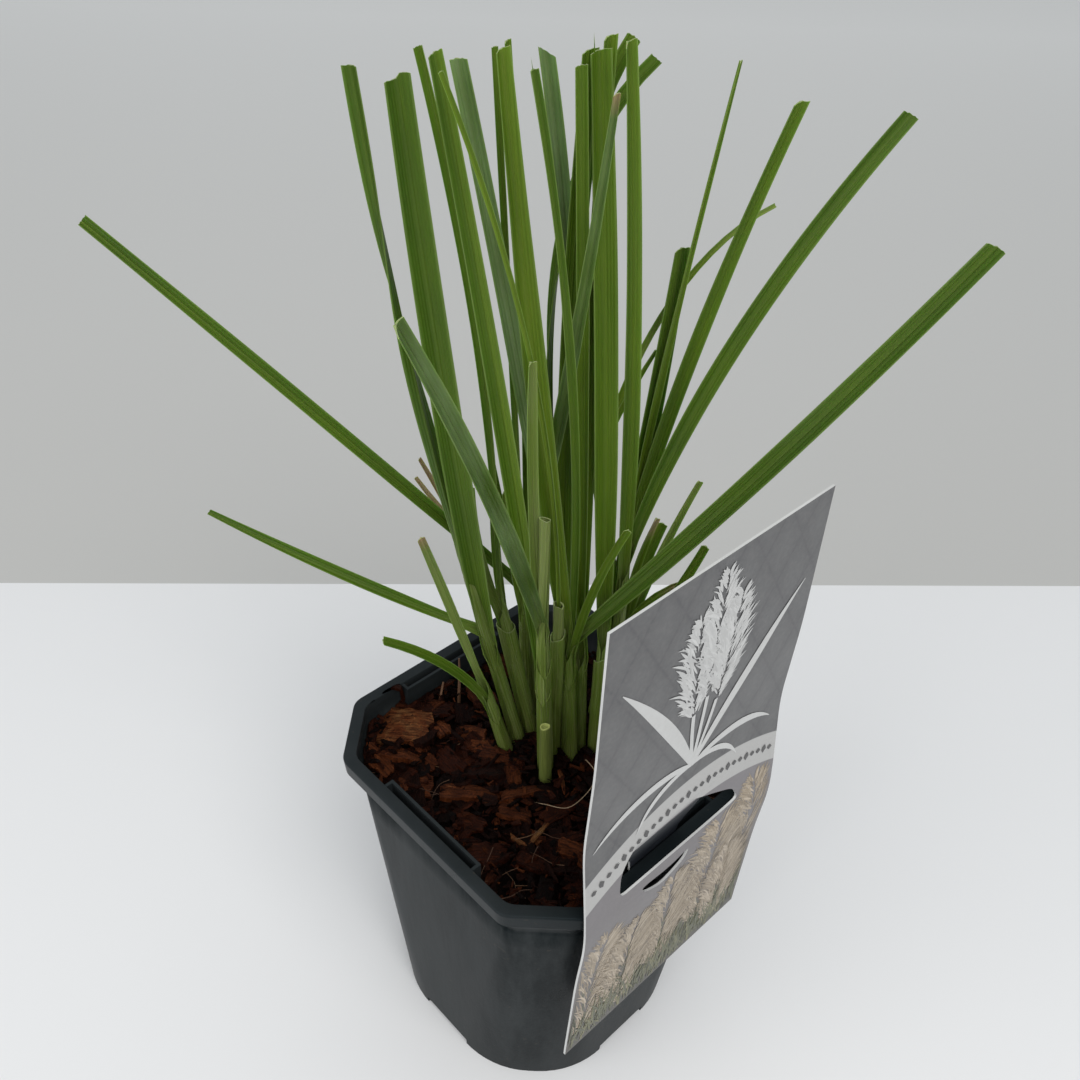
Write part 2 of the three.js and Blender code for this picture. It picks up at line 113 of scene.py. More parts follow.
def make_object(name, points, faces):
    """An object in the scene; its points are in metres."""
    mesh = bpy.data.meshes.new(name)
    mesh.from_pydata([tuple(p) for p in points], [], [tuple(int(i) for i in f) for f in faces])
    made = bpy.data.objects.new(name, mesh)
    bpy.context.scene.collection.objects.link(made)
    return made


def make_solid(name, points, faces, outwards=True):
    """A solid that is still to be cut or joined to another."""
    solid = make_object(name, np.asarray(points, float) * MM + ORIGIN, faces)
    if outwards:
        tidy_normals(solid)
    return solid


def carve(piece, tool, operation):
    """Cuts the tool from a piece, or joins it to it, and leaves only the piece."""
    modifier = piece.modifiers.new("carve", "BOOLEAN")
    modifier.operation = operation
    modifier.solver = "EXACT"
    modifier.object = tool
    graph = bpy.context.evaluated_depsgraph_get()
    piece_mesh = bpy.data.meshes.new_from_object(piece.evaluated_get(graph))
    piece.modifiers.clear()
    piece.data = piece_mesh
    bpy.data.objects.remove(tool, do_unlink=True)


class Soup:
    """Points, faces and point attributes of one piece, gathered part by part."""

    def __init__(self):
        self.points, self.faces, self.attributes = [], [], []
        self.count = 0

    def add(self, points, faces, **attributes):
        points = np.asarray(points, float).reshape(-1, 3)
        self.points.append(points)
        self.faces += [[i + self.count for i in f] for f in faces]
        values = {key: np.broadcast_to(value, len(points)) for key, value in attributes.items()}
        self.attributes.append(values)
        self.count += len(points)

    def piece(self, name, material, slot, node=None, sharp_angle=None):
        """The whole as one piece. An attribute that a part doesn't give is 0 there."""
        points = np.concatenate(self.points) * MM + ORIGIN
        piece = make_object(name, points, self.faces)
        piece.data.materials.append(material)
        for key in dict.fromkeys(key for part in self.attributes for key in part):
            values = [part.get(key, np.zeros(len(p))) for part, p in zip(self.attributes, self.points)]
            layer = piece.data.attributes.new(key, "FLOAT", "POINT")
            layer.data.foreach_set("value", np.concatenate(values).astype(np.float32))
        if sharp_angle:
            shade_smooth(piece.data, sharp_angle)
        claim(piece, node)


def grid_faces(rows, columns, closed=False, start=0):
    faces = []
    for i in range(rows - 1):
        for j in range(columns if closed else columns - 1):
            k = (j + 1) % columns
            a, b = start + i * columns + j, start + i * columns + k
            faces.append([a, b, b + columns, a + columns])
    return faces


# ---- materials ------------------------------------------------------------------------------------

class Value:
    """What a node gives out, with the signs of arithmetic."""

    def __init__(self, shade, socket):
        self.shade, self.socket = shade, socket

    def __add__(self, other):
        return self.shade.math("ADD", self, other)

    def __sub__(self, other):
        return self.shade.math("SUBTRACT", self, other)

    def __rsub__(self, other):
        return self.shade.math("SUBTRACT", other, self)

    def __mul__(self, other):
        return self.shade.math("MULTIPLY", self, other)


class Shade:
    """A node material that is built in a few words."""

    def __init__(self, name, roughness):
        self.material = bpy.data.materials.new(name)
        self.material.use_nodes = True
        self.tree = self.material.node_tree
        self.bsdf = self.tree.nodes["Principled BSDF"]
        self.set("Roughness", roughness)

    def set(self, key, value):
        self.plug(self.bsdf.inputs[key], value)

    def plug(self, socket, value):
        if isinstance(value, Value):
            self.tree.links.new(value.socket, socket)
        elif isinstance(value, tuple) and len(value) < len(socket.default_value):
            socket.default_value = (*value, 1.0)
        else:
            socket.default_value = value

    def node(self, kind, inputs, **settings):
        made = self.tree.nodes.new(kind)
        for key, value in settings.items():
            setattr(made, key, value)
        for key, value in inputs.items():
            self.plug(made.inputs[key], value)
        return made

    def give(self, kind, inputs, output=0, **settings):
        return Value(self, self.node(kind, inputs, **settings).outputs[output])

    def math(self, operation, a, b=0.0):
        return self.give("ShaderNodeMath", {0: a, 1: b}, operation=operation)

    def attributes(self, *names):
        return [self.give("ShaderNodeAttribute", {}, "Fac", attribute_name=name) for name in names]

    def place(self):
        """Where a point of the surface is in the row frame, in metres."""
        return self.give("ShaderNodeTexCoord", {}, "Object")

    def place_parts(self):
        parts = self.node("ShaderNodeSeparateXYZ", {"Vector": self.place()})
        return [Value(self, part) for part in parts.outputs]

    def mix(self, share, a, b, blend="MIX"):
        return self.give("ShaderNodeMix", {0: share, 6: a, 7: b}, 2, data_type="RGBA", blend_type=blend)

    def dim(self, colour, amounts):
        """A colour times an amount for each of its parts."""
        return self.mix(1.0, colour, amounts, blend="MULTIPLY")

    def ramp(self, value, stops):
        made = self.node("ShaderNodeValToRGB", {0: value})
        elements = made.color_ramp.elements
        while len(elements) < len(stops):
            elements.new(0.5)
        for element, (place, colour) in zip(elements, stops):
            element.position = place
            element.color = (*colour, 1.0)
        return Value(self, made.outputs[0])

    def step(self, value, low, high):
        """0 below low, 1 above high."""
        return self.give("ShaderNodeMapRange", {"Value": value, "From Min": low, "From Max": high})

    def noise(self, scale, detail, roughness, vector=None, stretch=None):
        vector = vector or self.place()
        if stretch:
            vector = self.give("ShaderNodeMapping", {"Vector": vector, "Scale": stretch})
        inputs = {"Vector": vector, "Scale": scale, "Detail": detail, "Roughness": roughness}
        return self.give("ShaderNodeTexNoise", inputs, "Fac")

    def streaks(self, x, y, z, detail, roughness):
        """Noise along a leaf or a chip, drawn out by the scales that x and y come with."""
        vector = self.give("ShaderNodeCombineXYZ", {0: x, 1: y, 2: z})
        return self.noise(1.0, detail, roughness, vector)

    def bump(self, height, distance, strength, after=None):
        inputs = {"Height": height, "Distance": distance, "Strength": strength}
        if after:
            inputs["Normal"] = after
        bumped = self.give("ShaderNodeBump", inputs)
        self.set("Normal", bumped)
        return bumped


def leaf_material():
    s = Shade("grass_leaf", 0.42)
    across, along, tint, sheath, dry, end, seed, half, pair, edge = s.attributes(
        "leaf_across", "leaf_along", "leaf_tint", "leaf_sheath", "leaf_dry", "leaf_end", "leaf_seed",
        "leaf_half", "leaf_pair", "leaf_edge")
    streaks = s.streaks(across * 1.9, along * 0.02, seed, 4.0, 0.6)
    patches = s.streaks(across * 0.2, along * 0.045, seed, 3.0, 0.5)
    green = s.ramp(tint + (patches - 0.5) * 0.34, [
        (0.0, (0.185, 0.272, 0.105)), (0.25, (0.050, 0.094, 0.010)), (0.5, (0.072, 0.130, 0.008)),
        (0.75, (0.104, 0.168, 0.012)), (1.0, (0.160, 0.205, 0.058))])
    green = s.mix(s.step(streaks, 0.35, 0.68), s.dim(green, (0.76, 0.80, 0.74)), green)
    # painted light: one half of a folded blade is painted paler than the other, as if it faced the light and
    # the other half lay in shade
    lit = half * s.math("MAXIMUM", pair, 0.0)
    other = (1.0 - half) * s.math("MAXIMUM", pair * -1.0, 0.0)
    green = s.mix(lit + other, green, s.dim(green, (1.75, 1.5, 2.0)))
    rib = 1.0 - s.step(s.math("ABSOLUTE", across), 0.16, 0.42)
    green = s.mix(rib * 0.05, green, (0.20, 0.29, 0.06))
    green = s.mix(s.step(edge, 0.80, 0.97) * 0.42, green, (0.22, 0.29, 0.09))
    # the sheath is paler, with threads along it, and browner at its foot
    threads = s.streaks(across * 3.4, along * 0.035, seed + 7.0, 5.0, 0.7)
    pale = s.ramp(patches * 0.45 + threads * 0.85, [
        (0.42, (0.062, 0.100, 0.010)), (0.62, (0.120, 0.174, 0.028)), (0.86, (0.26, 0.31, 0.12))])
    colour = s.mix(sheath * 0.85, green, pale)
    colour = s.mix((1.0 - s.step(along, 2.0, 16.0)) * 0.28, colour, (0.14, 0.13, 0.035))
    colour = s.mix(dry, colour, s.ramp(streaks, [(0.3, (0.15, 0.10, 0.045)), (0.7, (0.36, 0.28, 0.15))]))
    s.set("Base Color", s.mix(end * 0.6, colour, (0.36, 0.41, 0.20)))
    s.set("Subsurface Weight", 0.35)
    s.set("Subsurface Radius", (0.25, 0.5, 0.1))
    s.set("Subsurface Scale", 0.0016)
    s.set("Specular IOR Level", 0.13)
    s.set("Roughness", streaks * 0.22 + 0.34)
    veins = s.math("SINE", across * 11.0)
    s.bump(veins * 0.35 + (streaks + rib * 1.2), 0.00012, 0.8)
    return s.material


def pot_material():
    s = Shade("black_polypropylene", 0.36)
    mottle = s.noise(60.0, 5.0, 0.6, stretch=(1.0, 1.0, 0.22))
    colour = s.ramp(mottle, [(0.3, (0.0022, 0.0040, 0.0048)), (0.7, (0.0050, 0.0078, 0.0090))])
    _, y, z = s.place_parts()
    on_rim = s.step(z, 0.0935, 0.0965)
    # a film of dried water on the walls
    film = s.step(s.noise(52.0, 9.0, 0.72, stretch=(1.0, 1.0, 0.24)), 0.40, 0.66) * (1.0 - on_rim)
    colour = s.mix(film * 0.85, colour, (0.040, 0.0440, 0.0455))
    # the rim top is lightened, partly by scuffs and partly as a painted sheen, least on the label's side,
    # which is left darker as painted shade
    clear_of_front_shade = s.step(y - ORIGIN[1], -0.044, -0.030)
    scuffs_and_sheen = on_rim * (mottle * 0.5 + 0.35) * (clear_of_front_shade * 0.78 + 0.22)
    colour = s.mix(scuffs_and_sheen, colour, (0.033, 0.037, 0.039))
    specks = s.step(s.noise(420.0, 2.0, 0.5), 0.69, 0.74)
    s.set("Base Color", s.mix(specks * 0.25, colour, (0.07, 0.055, 0.04)))
    s.set("Roughness", mottle * 0.14 + 0.22 + film * 0.12)
    s.set("Specular IOR Level", 0.050)
    s.set("Specular Tint", (0.66, 0.93, 1.0))
    grain = s.bump(s.noise(900.0, 3.0, 0.6), 0.00004, 0.5)
    s.bump(mottle, 0.0006, 0.35, after=grain)
    return s.material


def bark_material():
    s = Shade("pine_bark", 0.62)
    grain, side, tint = s.attributes("chip_grain", "chip_side", "chip_tint")
    fibre = s.streaks(grain * 0.22, side * 2.1, tint * 40.0, 6.0, 0.65)
    patch = s.noise(260.0, 4.0, 0.6)
    base = s.ramp(tint * 0.75 + patch * 0.3, [
        (0.12, (0.0022, 0.0006, 0.0003)), (0.36, (0.0125, 0.0026, 0.0010)), (0.60, (0.036, 0.0074, 0.0023)),
        (0.84, (0.115, 0.0320, 0.0095)), (1.0, (0.27, 0.145, 0.056))])
    colour = s.mix(s.step(fibre, 0.38, 0.58), s.dim(base, (0.26, 0.20, 0.18)), base)
    speck = s.noise(1500.0, 3.0, 0.7)
    s.set("Base Color", s.mix(s.step(speck, 0.60, 0.70) * 0.55, colour, s.dim(base, (2.6, 2.2, 2.0))))
    s.set("Roughness", fibre * 0.35 + 0.40)
    s.set("Specular IOR Level", 0.09)
    bumped = s.bump(speck, 0.0003, 0.8, after=s.bump(fibre, 0.0012, 1.0))
    s.bump(patch, 0.0008, 0.8, after=bumped)
    return s.material


def cloudy_material(name, roughness, noise, dark, light, bump):
    """A colour that wanders between two, with bumps to match."""
    s = Shade(name, roughness)
    cloud = s.noise(*noise)
    s.set("Base Color", s.ramp(cloud, [(0.3, dark), (0.7, light)]))
    s.bump(cloud, *bump)
    return s.material


def label_material():
    """The printed front of the label: a grey quilted field, a pale band and a dusky field under it."""
    s = Shade("label_print", 0.34)
    x, _, z = s.place_parts()
    x = x - ORIGIN[0] - LABEL_MIDDLE_X * MM
    grain = s.noise(900.0, 3.0, 0.6)
    cloud = s.noise(26.0, 4.0, 0.55)
    upper = s.ramp(s.step(z, 0.108, 0.190), [(0.0, (0.097, 0.097, 0.098)), (1.0, (0.090, 0.090, 0.091))])
    waves = [s.math("ABSOLUTE", s.math("SINE", (x + z * tilt) * (math.pi / QUILT_STEP)))
             for tilt in (0.62, -0.62)]
    seams = [s.step(wave, 0.0, 0.16) for wave in waves]
    upper = s.mix((1.0 - waves[0] * waves[1]) * 0.50, upper, (0.058, 0.057, 0.060))
    upper = s.mix((1.0 - seams[0] * seams[1]) * 0.55, upper, (0.050, 0.048, 0.053))
    lower = s.ramp(s.step(z, 0.040, 0.104) + (cloud - 0.5) * 0.6, [
        (0.0, (0.050, 0.044, 0.034)), (0.3, (0.092, 0.078, 0.068)), (0.65, (0.135, 0.122, 0.124)),
        (1.0, (0.170, 0.158, 0.166))])
    # the band is an arc, so a height that grows towards the sides tells what is under, in and over it
    level = z + x * x * 6.9
    colour = s.mix(s.step(level, 0.1122, 0.1124), lower, (0.42, 0.415, 0.405))
    colour = s.mix(s.step(level, 0.1218, 0.1220), colour, upper)
    s.set("Base Color", s.mix(s.step(grain, 0.4, 0.7) * 0.10, colour, (0.30, 0.28, 0.27)))
    s.set("Roughness", cloud * 0.14 + 0.28)
    s.set("Specular IOR Level", 0.5)
    s.bump(cloud, 0.0006, 0.15)
    return s.material


def ink_material():
    """Print in one of four inks, chosen stroke by stroke: beige, grass, white or dark grey."""
    s = Shade("label_ink", 0.36)
    ink, shade = s.attributes("ink", "ink_shade")
    colour, grass, white = [s.ramp(shade, stops) for stops in (
        [(0.0, (0.090, 0.066, 0.042)), (0.5, (0.290, 0.222, 0.142)), (1.0, (0.52, 0.43, 0.32))],
        [(0.0, (0.030, 0.034, 0.012)), (0.5, (0.085, 0.092, 0.032)), (1.0, (0.22, 0.20, 0.08))],
        [(0.0, (0.42, 0.42, 0.415)), (1.0, (0.62, 0.62, 0.61))])]
    for number, other in ((GRASS, grass), (WHITE, white), (DARK, (0.045, 0.045, 0.048))):
        colour = s.mix(s.step(ink, number - 0.6, number - 0.4), colour, other)
    grain = s.noise(700.0, 2.0, 0.5)
    s.set("Base Color", s.mix(grain * 0.2, colour, (0.2, 0.18, 0.16)))
    s.bump(grain, 0.00001, 0.2)
    return s.material


def culm_material():
    s = Shade("cut_culm", 0.6)
    across, along, end = s.attributes("leaf_across", "leaf_along", "leaf_end")
    lines = s.streaks(across * 3.0, along * 0.1, 3.0, 4.0, 0.6)
    colour = s.ramp(lines, [(0.3, (0.10, 0.135, 0.022)), (0.7, (0.20, 0.235, 0.050))])
    s.set("Base Color", s.mix(end, colour, (0.42, 0.46, 0.14)))
    s.bump(lines, 0.0003, 0.7)
    return s.material


def fibre_material():
    s = Shade("root_fibre", 0.6)
    grain, tint = s.attributes("chip_grain", "chip_tint")
    cloud = s.noise(700.0, 3.0, 0.6)
    s.set("Base Color", s.ramp(tint * 0.8 + cloud * 0.3, [
        (0.2, (0.060, 0.024, 0.012)), (0.6, (0.17, 0.085, 0.042)), (1.0, (0.42, 0.31, 0.20))]))
    s.bump(cloud + s.math("SINE", grain * 14.0) * 0.2, 0.0002, 0.7)
    return s.material


# ---- pot ------------------------------------------------------------------------------------------

POT_HEIGHT, WALL = 100.0, 1.0
RIM_SIDE, RIM_DEPTH, RIM_CORNER_CUT, RIM_FILLET, MOUTH_SIDE = 90.0, 5.0, 14.5, 5.0, 83.3
STEP_HEIGHT, STEP_SIDE, STEP_DEPTH, STEP_CORNER_CUT = 86.0, 81.0, 0.5, 12.0
BASE_SIDE, BASE_CORNER_CUT, BASE_FILLET = 74.0, 17.6, 27.0
FOOT_HEIGHT, FOOT_WIDTH, FOOT_NOTCH_WIDTH, FLOOR_THICKNESS = 2.5, 2.0, 18.0, 1.4
POCKET_WIDTH, POCKET_GAP, POCKET_WALL, POCKET_DEPTH, POCKET_SINK = 34.0, 1.8, 0.8, 6.0, 0.4
VENT_WIDTH, VENT_HEIGHT, DRAIN_RADIUS, DRAIN_PLACE, DRAIN_SIDES = 15.0, 1.2, 4.0, 14.85, 24
RIM_BOTTOM, FLOOR_TOP = POT_HEIGHT - RIM_DEPTH, FOOT_HEIGHT + FLOOR_THICKNESS
ARC_STEPS = 8


def square_ring(side, corner_cut, fillet, z):
    """A level ring of points round a square with cut and rounded corners."""
    half = side / 2
    tangent = fillet * math.tan(math.pi / 8)
    arcs = [(half - fillet, half - corner_cut - tangent, 0.0),
            (half - corner_cut - tangent, half - fillet, math.pi / 4)]
    ring = []
    for quarter in range(4):
        c, s = math.cos(quarter * math.pi / 2), math.sin(quarter * math.pi / 2)
        for x, y, start in arcs:
            for i in range(ARC_STEPS + 1):
                angle = start + i / ARC_STEPS * math.pi / 4
                px, py = x + fillet * math.cos(angle), y + fillet * math.sin(angle)
                ring.append((c * px - s * py, s * px + c * py, z))
    return ring


def corner_loss(inset):
    """How much shorter a corner cut gets when the square shrinks by inset on each side."""
    return inset * (2 - math.sqrt(2))


def wall_ring(z, inset):
    share = z / STEP_HEIGHT
    return square_ring(lerp(BASE_SIDE, STEP_SIDE, share) - 2 * inset,
                       lerp(BASE_CORNER_CUT, STEP_CORNER_CUT, share) - corner_loss(inset),
                       lerp(BASE_FILLET, RIM_FILLET, share) - inset, z)


def rim_ring(side, z):
    inset = (RIM_SIDE - side) / 2
    return square_ring(side, RIM_CORNER_CUT - corner_loss(inset), RIM_FILLET, z)


def inside_ring(z, inset):
    """The pot's hollow at a height, made smaller by inset on each side."""
    if z <= STEP_HEIGHT:
        return wall_ring(z, WALL + inset)
    share = min((z - STEP_HEIGHT) / (RIM_BOTTOM - STEP_HEIGHT), 1)
    return rim_ring(lerp(STEP_SIDE - 2 * WALL, MOUTH_SIDE, share) - 2 * inset, z)


def prism(ring, low, high):
    """A straight solid over an outline, from one height to another."""
    n = len(ring)
    points = [(x, y, z) for z in (low, high) for x, y in ring]
    return points, grid_faces(2, n, closed=True) + [list(range(n))[::-1], list(range(n, 2 * n))]


def box_mesh(x, y, z, size_x, size_y, size_z, turn=0.0):
    corners = np.array([(i, j, k) for i in (-0.5, 0.5) for j in (-0.5, 0.5) for k in (-0.5, 0.5)])
    corners = corners * (size_x, size_y, size_z) + (x, y, z)
    c, s = math.cos(turn), math.sin(turn)
    corners[:, :2] = corners[:, :2] @ np.array([[c, s], [-s, c]])
    faces = [[0, 1, 3, 2], [4, 6, 7, 5], [0, 4, 5, 1], [2, 3, 7, 6], [0, 2, 6, 4], [1, 5, 7, 3]]
    return corners, faces


def pot_rings():
    """Rings of the pot's skin: up the outside, over the rim and down the inside."""
    neck = MOUTH_SIDE + 2 * WALL
    fold = RIM_SIDE - 0.6 - 2 * WALL
    step_top = STEP_SIDE - 2 * STEP_DEPTH
    rings = [wall_ring(FOOT_HEIGHT, FOOT_WIDTH)]
    rings += [wall_ring(z, inset) for z, inset in ((0.0, FOOT_WIDTH), (0.0, 0.25), (0.3, 0.0))]
    rings += [wall_ring(z, 0.0) for z in np.linspace(6, STEP_HEIGHT - STEP_DEPTH - 0.2, 12)]
    rings += [wall_ring(STEP_HEIGHT - STEP_DEPTH, 0.1), rim_ring(step_top, STEP_HEIGHT)]
    rings += [rim_ring(lerp(step_top, neck, smooth(k / 5)), lerp(STEP_HEIGHT, RIM_BOTTOM, k / 5))
              for k in range(1, 5)]
    rings += [rim_ring(side, z) for side, z in (
        (neck, RIM_BOTTOM), (neck, POT_HEIGHT - WALL), (fold, POT_HEIGHT - WALL), (fold - 0.2, RIM_BOTTOM),
        (RIM_SIDE - 1.1, RIM_BOTTOM), (RIM_SIDE - 0.8, RIM_BOTTOM + 0.2),
        (RIM_SIDE - 0.06, POT_HEIGHT - 0.9))]
    rings += [rim_ring(RIM_SIDE - 0.9 * (1 - math.cos(a)), POT_HEIGHT - 0.55 + 0.55 * math.sin(a))
              for a in np.linspace(0.15, math.pi / 2, 5)]
    rings += [rim_ring(MOUTH_SIDE + 0.9, POT_HEIGHT), rim_ring(MOUTH_SIDE + 0.25, POT_HEIGHT - 0.12)]
    rings += [inside_ring(z, 0.0) for z in (POT_HEIGHT - 0.5, 97.0, RIM_BOTTOM, 90.0, STEP_HEIGHT)]
    return rings + [inside_ring(z, 0.0) for z in np.linspace(80, FLOOR_TOP, 6)]


def build_pot(material):
    rings = pot_rings()
    count = len(rings[0])
    points = np.concatenate([np.array(r) for r in rings])
    faces = grid_faces(len(rings), count, closed=True)
    faces.append(list(range(count))[::-1])
    faces.append([len(points) - count + i for i in range(count)])
    pot = make_solid("nursery_pot", points, faces)

    cuts, straps = Soup(), Soup()
    inner, outer = MOUTH_SIDE / 2 - POCKET_GAP - POCKET_WALL, MOUTH_SIDE / 2 + 0.5
    high = POT_HEIGHT - POCKET_SINK
    w = POCKET_WIDTH / 2
    strap = [(outer, -w), (outer, -w + POCKET_WALL), (inner + POCKET_WALL, -w + POCKET_WALL),
             (inner + POCKET_WALL, w - POCKET_WALL), (outer, w - POCKET_WALL), (outer, w), (inner, w),
             (inner, -w)]
    for quarter in range(4):
        turn = quarter * math.pi / 2
        c, s = math.cos(turn), math.sin(turn)
        cuts.add(*box_mesh(BASE_SIDE / 2, 0, 0, 12, FOOT_NOTCH_WIDTH, 2 * FOOT_HEIGHT, turn))
        cuts.add(*box_mesh(MOUTH_SIDE / 2 + WALL, 0, RIM_BOTTOM - 2, 8, VENT_WIDTH, VENT_HEIGHT, turn))
        straps.add(*prism([(c * x - s * y, s * x + c * y) for x, y in strap], high - POCKET_DEPTH, high))
    drains = [(0.0, 0.0)] + [(x * DRAIN_PLACE, y * DRAIN_PLACE) for x in (-1, 1) for y in (-1, 1)]
    for x, y in drains:
        ring = [(x + DRAIN_RADIUS * math.cos(a), y + DRAIN_RADIUS * math.sin(a))
                for a in ring_angles(DRAIN_SIDES)]
        cuts.add(*prism(ring, -1.0, FLOOR_TOP + 1))
    for parts, operation in ((cuts, "DIFFERENCE"), (straps, "UNION")):
        tool = make_solid("tool", np.concatenate(parts.points), parts.faces, outwards=False)
        carve(pot, tool, operation)
    pot.data.materials.append(material)
    shade_smooth(pot.data, 28)
    claim(pot, "pot")


# ---- leafy stems ----------------------------------------------------------------------------------

# The stems' places are given at GROUND. The plant is trimmed at TRIM_LENGTH along stem and leaf from there.
GROUND, TRIM_LENGTH = 91.0, 179.0
STEM_RADIUS, STEM_RADIUS_LIMIT, SHEATH_STEP, SHEATH_TAPER = 1.2, 1.7, 0.2, 0.3
LEAF_FOLD, LEAF_FACE_LEAN, LEAF_SKIN = 0.4, 50.0, 0.34
LEAF_COLUMNS, LEAF_ROW_STEP, SHEATH_START, SHEATH_OPENING = 9, 4.2, -7.0, 14


def leaf(at, heading, lean, width, facing, length=None, **more):
    """A leaf that leaves its stem at a length along it, with its leans from upright at its start and end."""
    plain = dict(curl=1.0, twist=35.0, tip=0.78, tint=0.5, dry=0.0, rolled=False, pair=0.0, slant=None,
                 notch=0.0, sliver=None)
    return plain | dict(at=at, heading=heading, lean=lean, width=width, facing=facing,
                        length=length or TRIM_LENGTH - at) | more


# each stem: place, lean from upright, heading, and leaves
STEMS = [
    ((-4.8, 12.4), 14, 142, [
        leaf(24, 163, (16, 17), 2.6, 205, length=56, tip=0.7, tint=0.95, dry=3),
        leaf(15, 158, (23, 57), 2.6, 245, length=44, tint=0.5),
    ]),
    ((0.1, 12.9), 13, 136, [
        leaf(60, 127, (14, 7), 3.6, 88, length=117, twist=150, tint=0.3),
        leaf(39, 134, (67, 59), 2.8, 250, length=74, tip=0.5, tint=0.45),
        leaf(32, 153, (9, 6), 6.2, 215, length=144, tint=0.36, pair=0.3, notch=1.0),
    ]),
    ((4.9, 12.6), 12, 123, [
        leaf(45, 136, (1, 13.5), 2.3, 180, tint=0.55),
        leaf(38, 151, (22, 2), 2.8, 230, length=45, tint=0.9),
        leaf(36, 115, (22, 32), 1.8, 230, length=52, tip=0.5, tint=0.7, dry=26),
        leaf(30, 101, (14, 1), 2.4, 200, length=48, tint=0.85),
    ]),
    ((-0.7, 0.6), 4, 176, [
        leaf(50, 203, (25.5, 33.5), 4.4, 240, length=126, tint=0.19),
        leaf(50, 158, (1, 2), 2.2, 262, length=34, tint=1.0, rolled=True),
        leaf(40, 142, (7, 1), 3.0, 245, length=83, tint=0.9),
        leaf(30, 136, (8, 10.5), 4.0, 220, length=152, tip=0.68, tint=0.42, pair=0.8),
    ]),
    ((4.4, 2.5), 3, 198, [
        leaf(38, 171, (2, 2), 2.2, 150, length=16, tint=1.0, rolled=True),
        leaf(35, 157, (0, 22), 1.15, 190, length=147, tint=0.72),
    ]),
    ((6.5, -1.4), 5, 92, [
        leaf(38, 141, (9, 6.5), 5.2, 230, length=143, tip=0.5, tint=0.68),
        leaf(38, 300, (33.5, 28.5), 4.7, 200, length=137, tint=0.30),
        leaf(30, 176, (-1, 15), 2.0, 235, length=151, tint=0.42, sliver=(-0.2, 2.2)),
        leaf(28, 285, (4, 22), 2.2, 210, length=54, tint=0.6),
    ]),
    ((11.1, -0.6), 5, 74, [
        leaf(32, 168, (3.5, 5), 2.8, 200, length=146, tint=0.55),
        leaf(30, 130, (3.5, 0), 3.9, 240, length=151, tint=0.62),
    ]),
    ((13, -4.7), 4, 52, [
        leaf(40, 146, (3.5, 6), 5.2, 220, length=140, tint=0.56, sliver=(-0.5, 3.4)),
    ]),
    ((18.7, -3.7), 2, 45, [
        leaf(60, 309, (10.5, 31), 3.8, 215, tint=0.34),
        leaf(50, 171, (2.5, 8.5), 4.0, 240, length=132, tint=0.46, pair=0.7),
        leaf(40, 129, (10.5, -31.5), 3.6, 230, length=143, curl=5, tint=0.5),
    ]),
    ((22.6, 4.2), 7, 13, [
        leaf(50, 292, (7, 16), 3.5, 230, length=123, tint=0.5),
        leaf(45, 321, (5, 2), 4.2, 215, length=92, tint=0.4),
        leaf(40, 302, (3, 7.5), 2.2, 250, length=136, tip=0.3, tint=0.66),
    ]),
    ((15.7, 11.2), 3, 81, [
        leaf(52, 158, (-12, -71), 1.6, 225, length=104, curl=3, tip=0.6, tint=0.8),
        leaf(52, 334, (5, 30), 1.8, 250, length=62, tip=0.5, tint=0.7),
        leaf(40, 208, (13, -5), 4.6, 235, tint=0.5),
        leaf(35, 141, (6, -46), 3.4, 103, curl=4, twist=150, tint=0.45),
        leaf(35, 177, (-2, 13.5), 3.8, 215, tint=0.1, slant=-0.37),
        leaf(30, 158, (9.5, 12.5), 4.0, 200, tint=0.1),
    ]),
    ((9.2, 17.7), 4, 95, [
        leaf(45, 250, (16, 9), 3.0, 212, tip=0.42, tint=0.2, dry=1.6),
        leaf(43, 135, (44.5, 45.5), 3.6, 245, length=134, tint=0.42),
        leaf(43, 118, (58, 37), 1.6, 225, length=41, tip=0.6, tint=0.6, dry=30),
        leaf(40, 173, (5, 5), 1.6, 190, length=138, tint=0.6),
        leaf(35, 162, (1, 6), 2.2, 245, length=143, tint=0.6),
        leaf(35, 127, (13, 10), 1.6, 225, length=50, tip=0.6, tint=0.8),
        leaf(30, 170, (13, 6), 2.2, 230, length=48, tint=0.8),
    ]),
    ((24.5, -3.3), 8, 69, [
        leaf(30, 274, (-1, 17), 2.2, 235, length=43, tint=0.6, dry=5),
        leaf(28, 327, (2, 18), 3.0, 215, length=40, tint=0.6),
        leaf(26, 336, (10, 24), 2.3, 240, length=54, tint=0.85),
        leaf(20, 296, (24, 16), 2.6, 205, length=50, tint=0.6),
        leaf(20, 316, (-15, 67), 2.8, 240, length=37, tint=0.7, dry=5),
    ]),
]


def direction(lean, heading):
    tilt, turn = np.radians(lean), np.radians(heading)
    return np.array([np.sin(tilt) * np.cos(turn), np.sin(tilt) * np.sin(turn), np.cos(tilt)])


def unit(vector):
    return vector / np.linalg.norm(vector)


def leaf_spread(share, tip):
    """The blade's width along it, as a share of its widest."""
    base = 0.62 + 0.38 * math.sin(min(share / 0.4, 1) * math.pi / 2)
    end = 1 - (1 - tip) * max((share - 0.45) / 0.55, 0) ** 1.5
    return min(base, end)


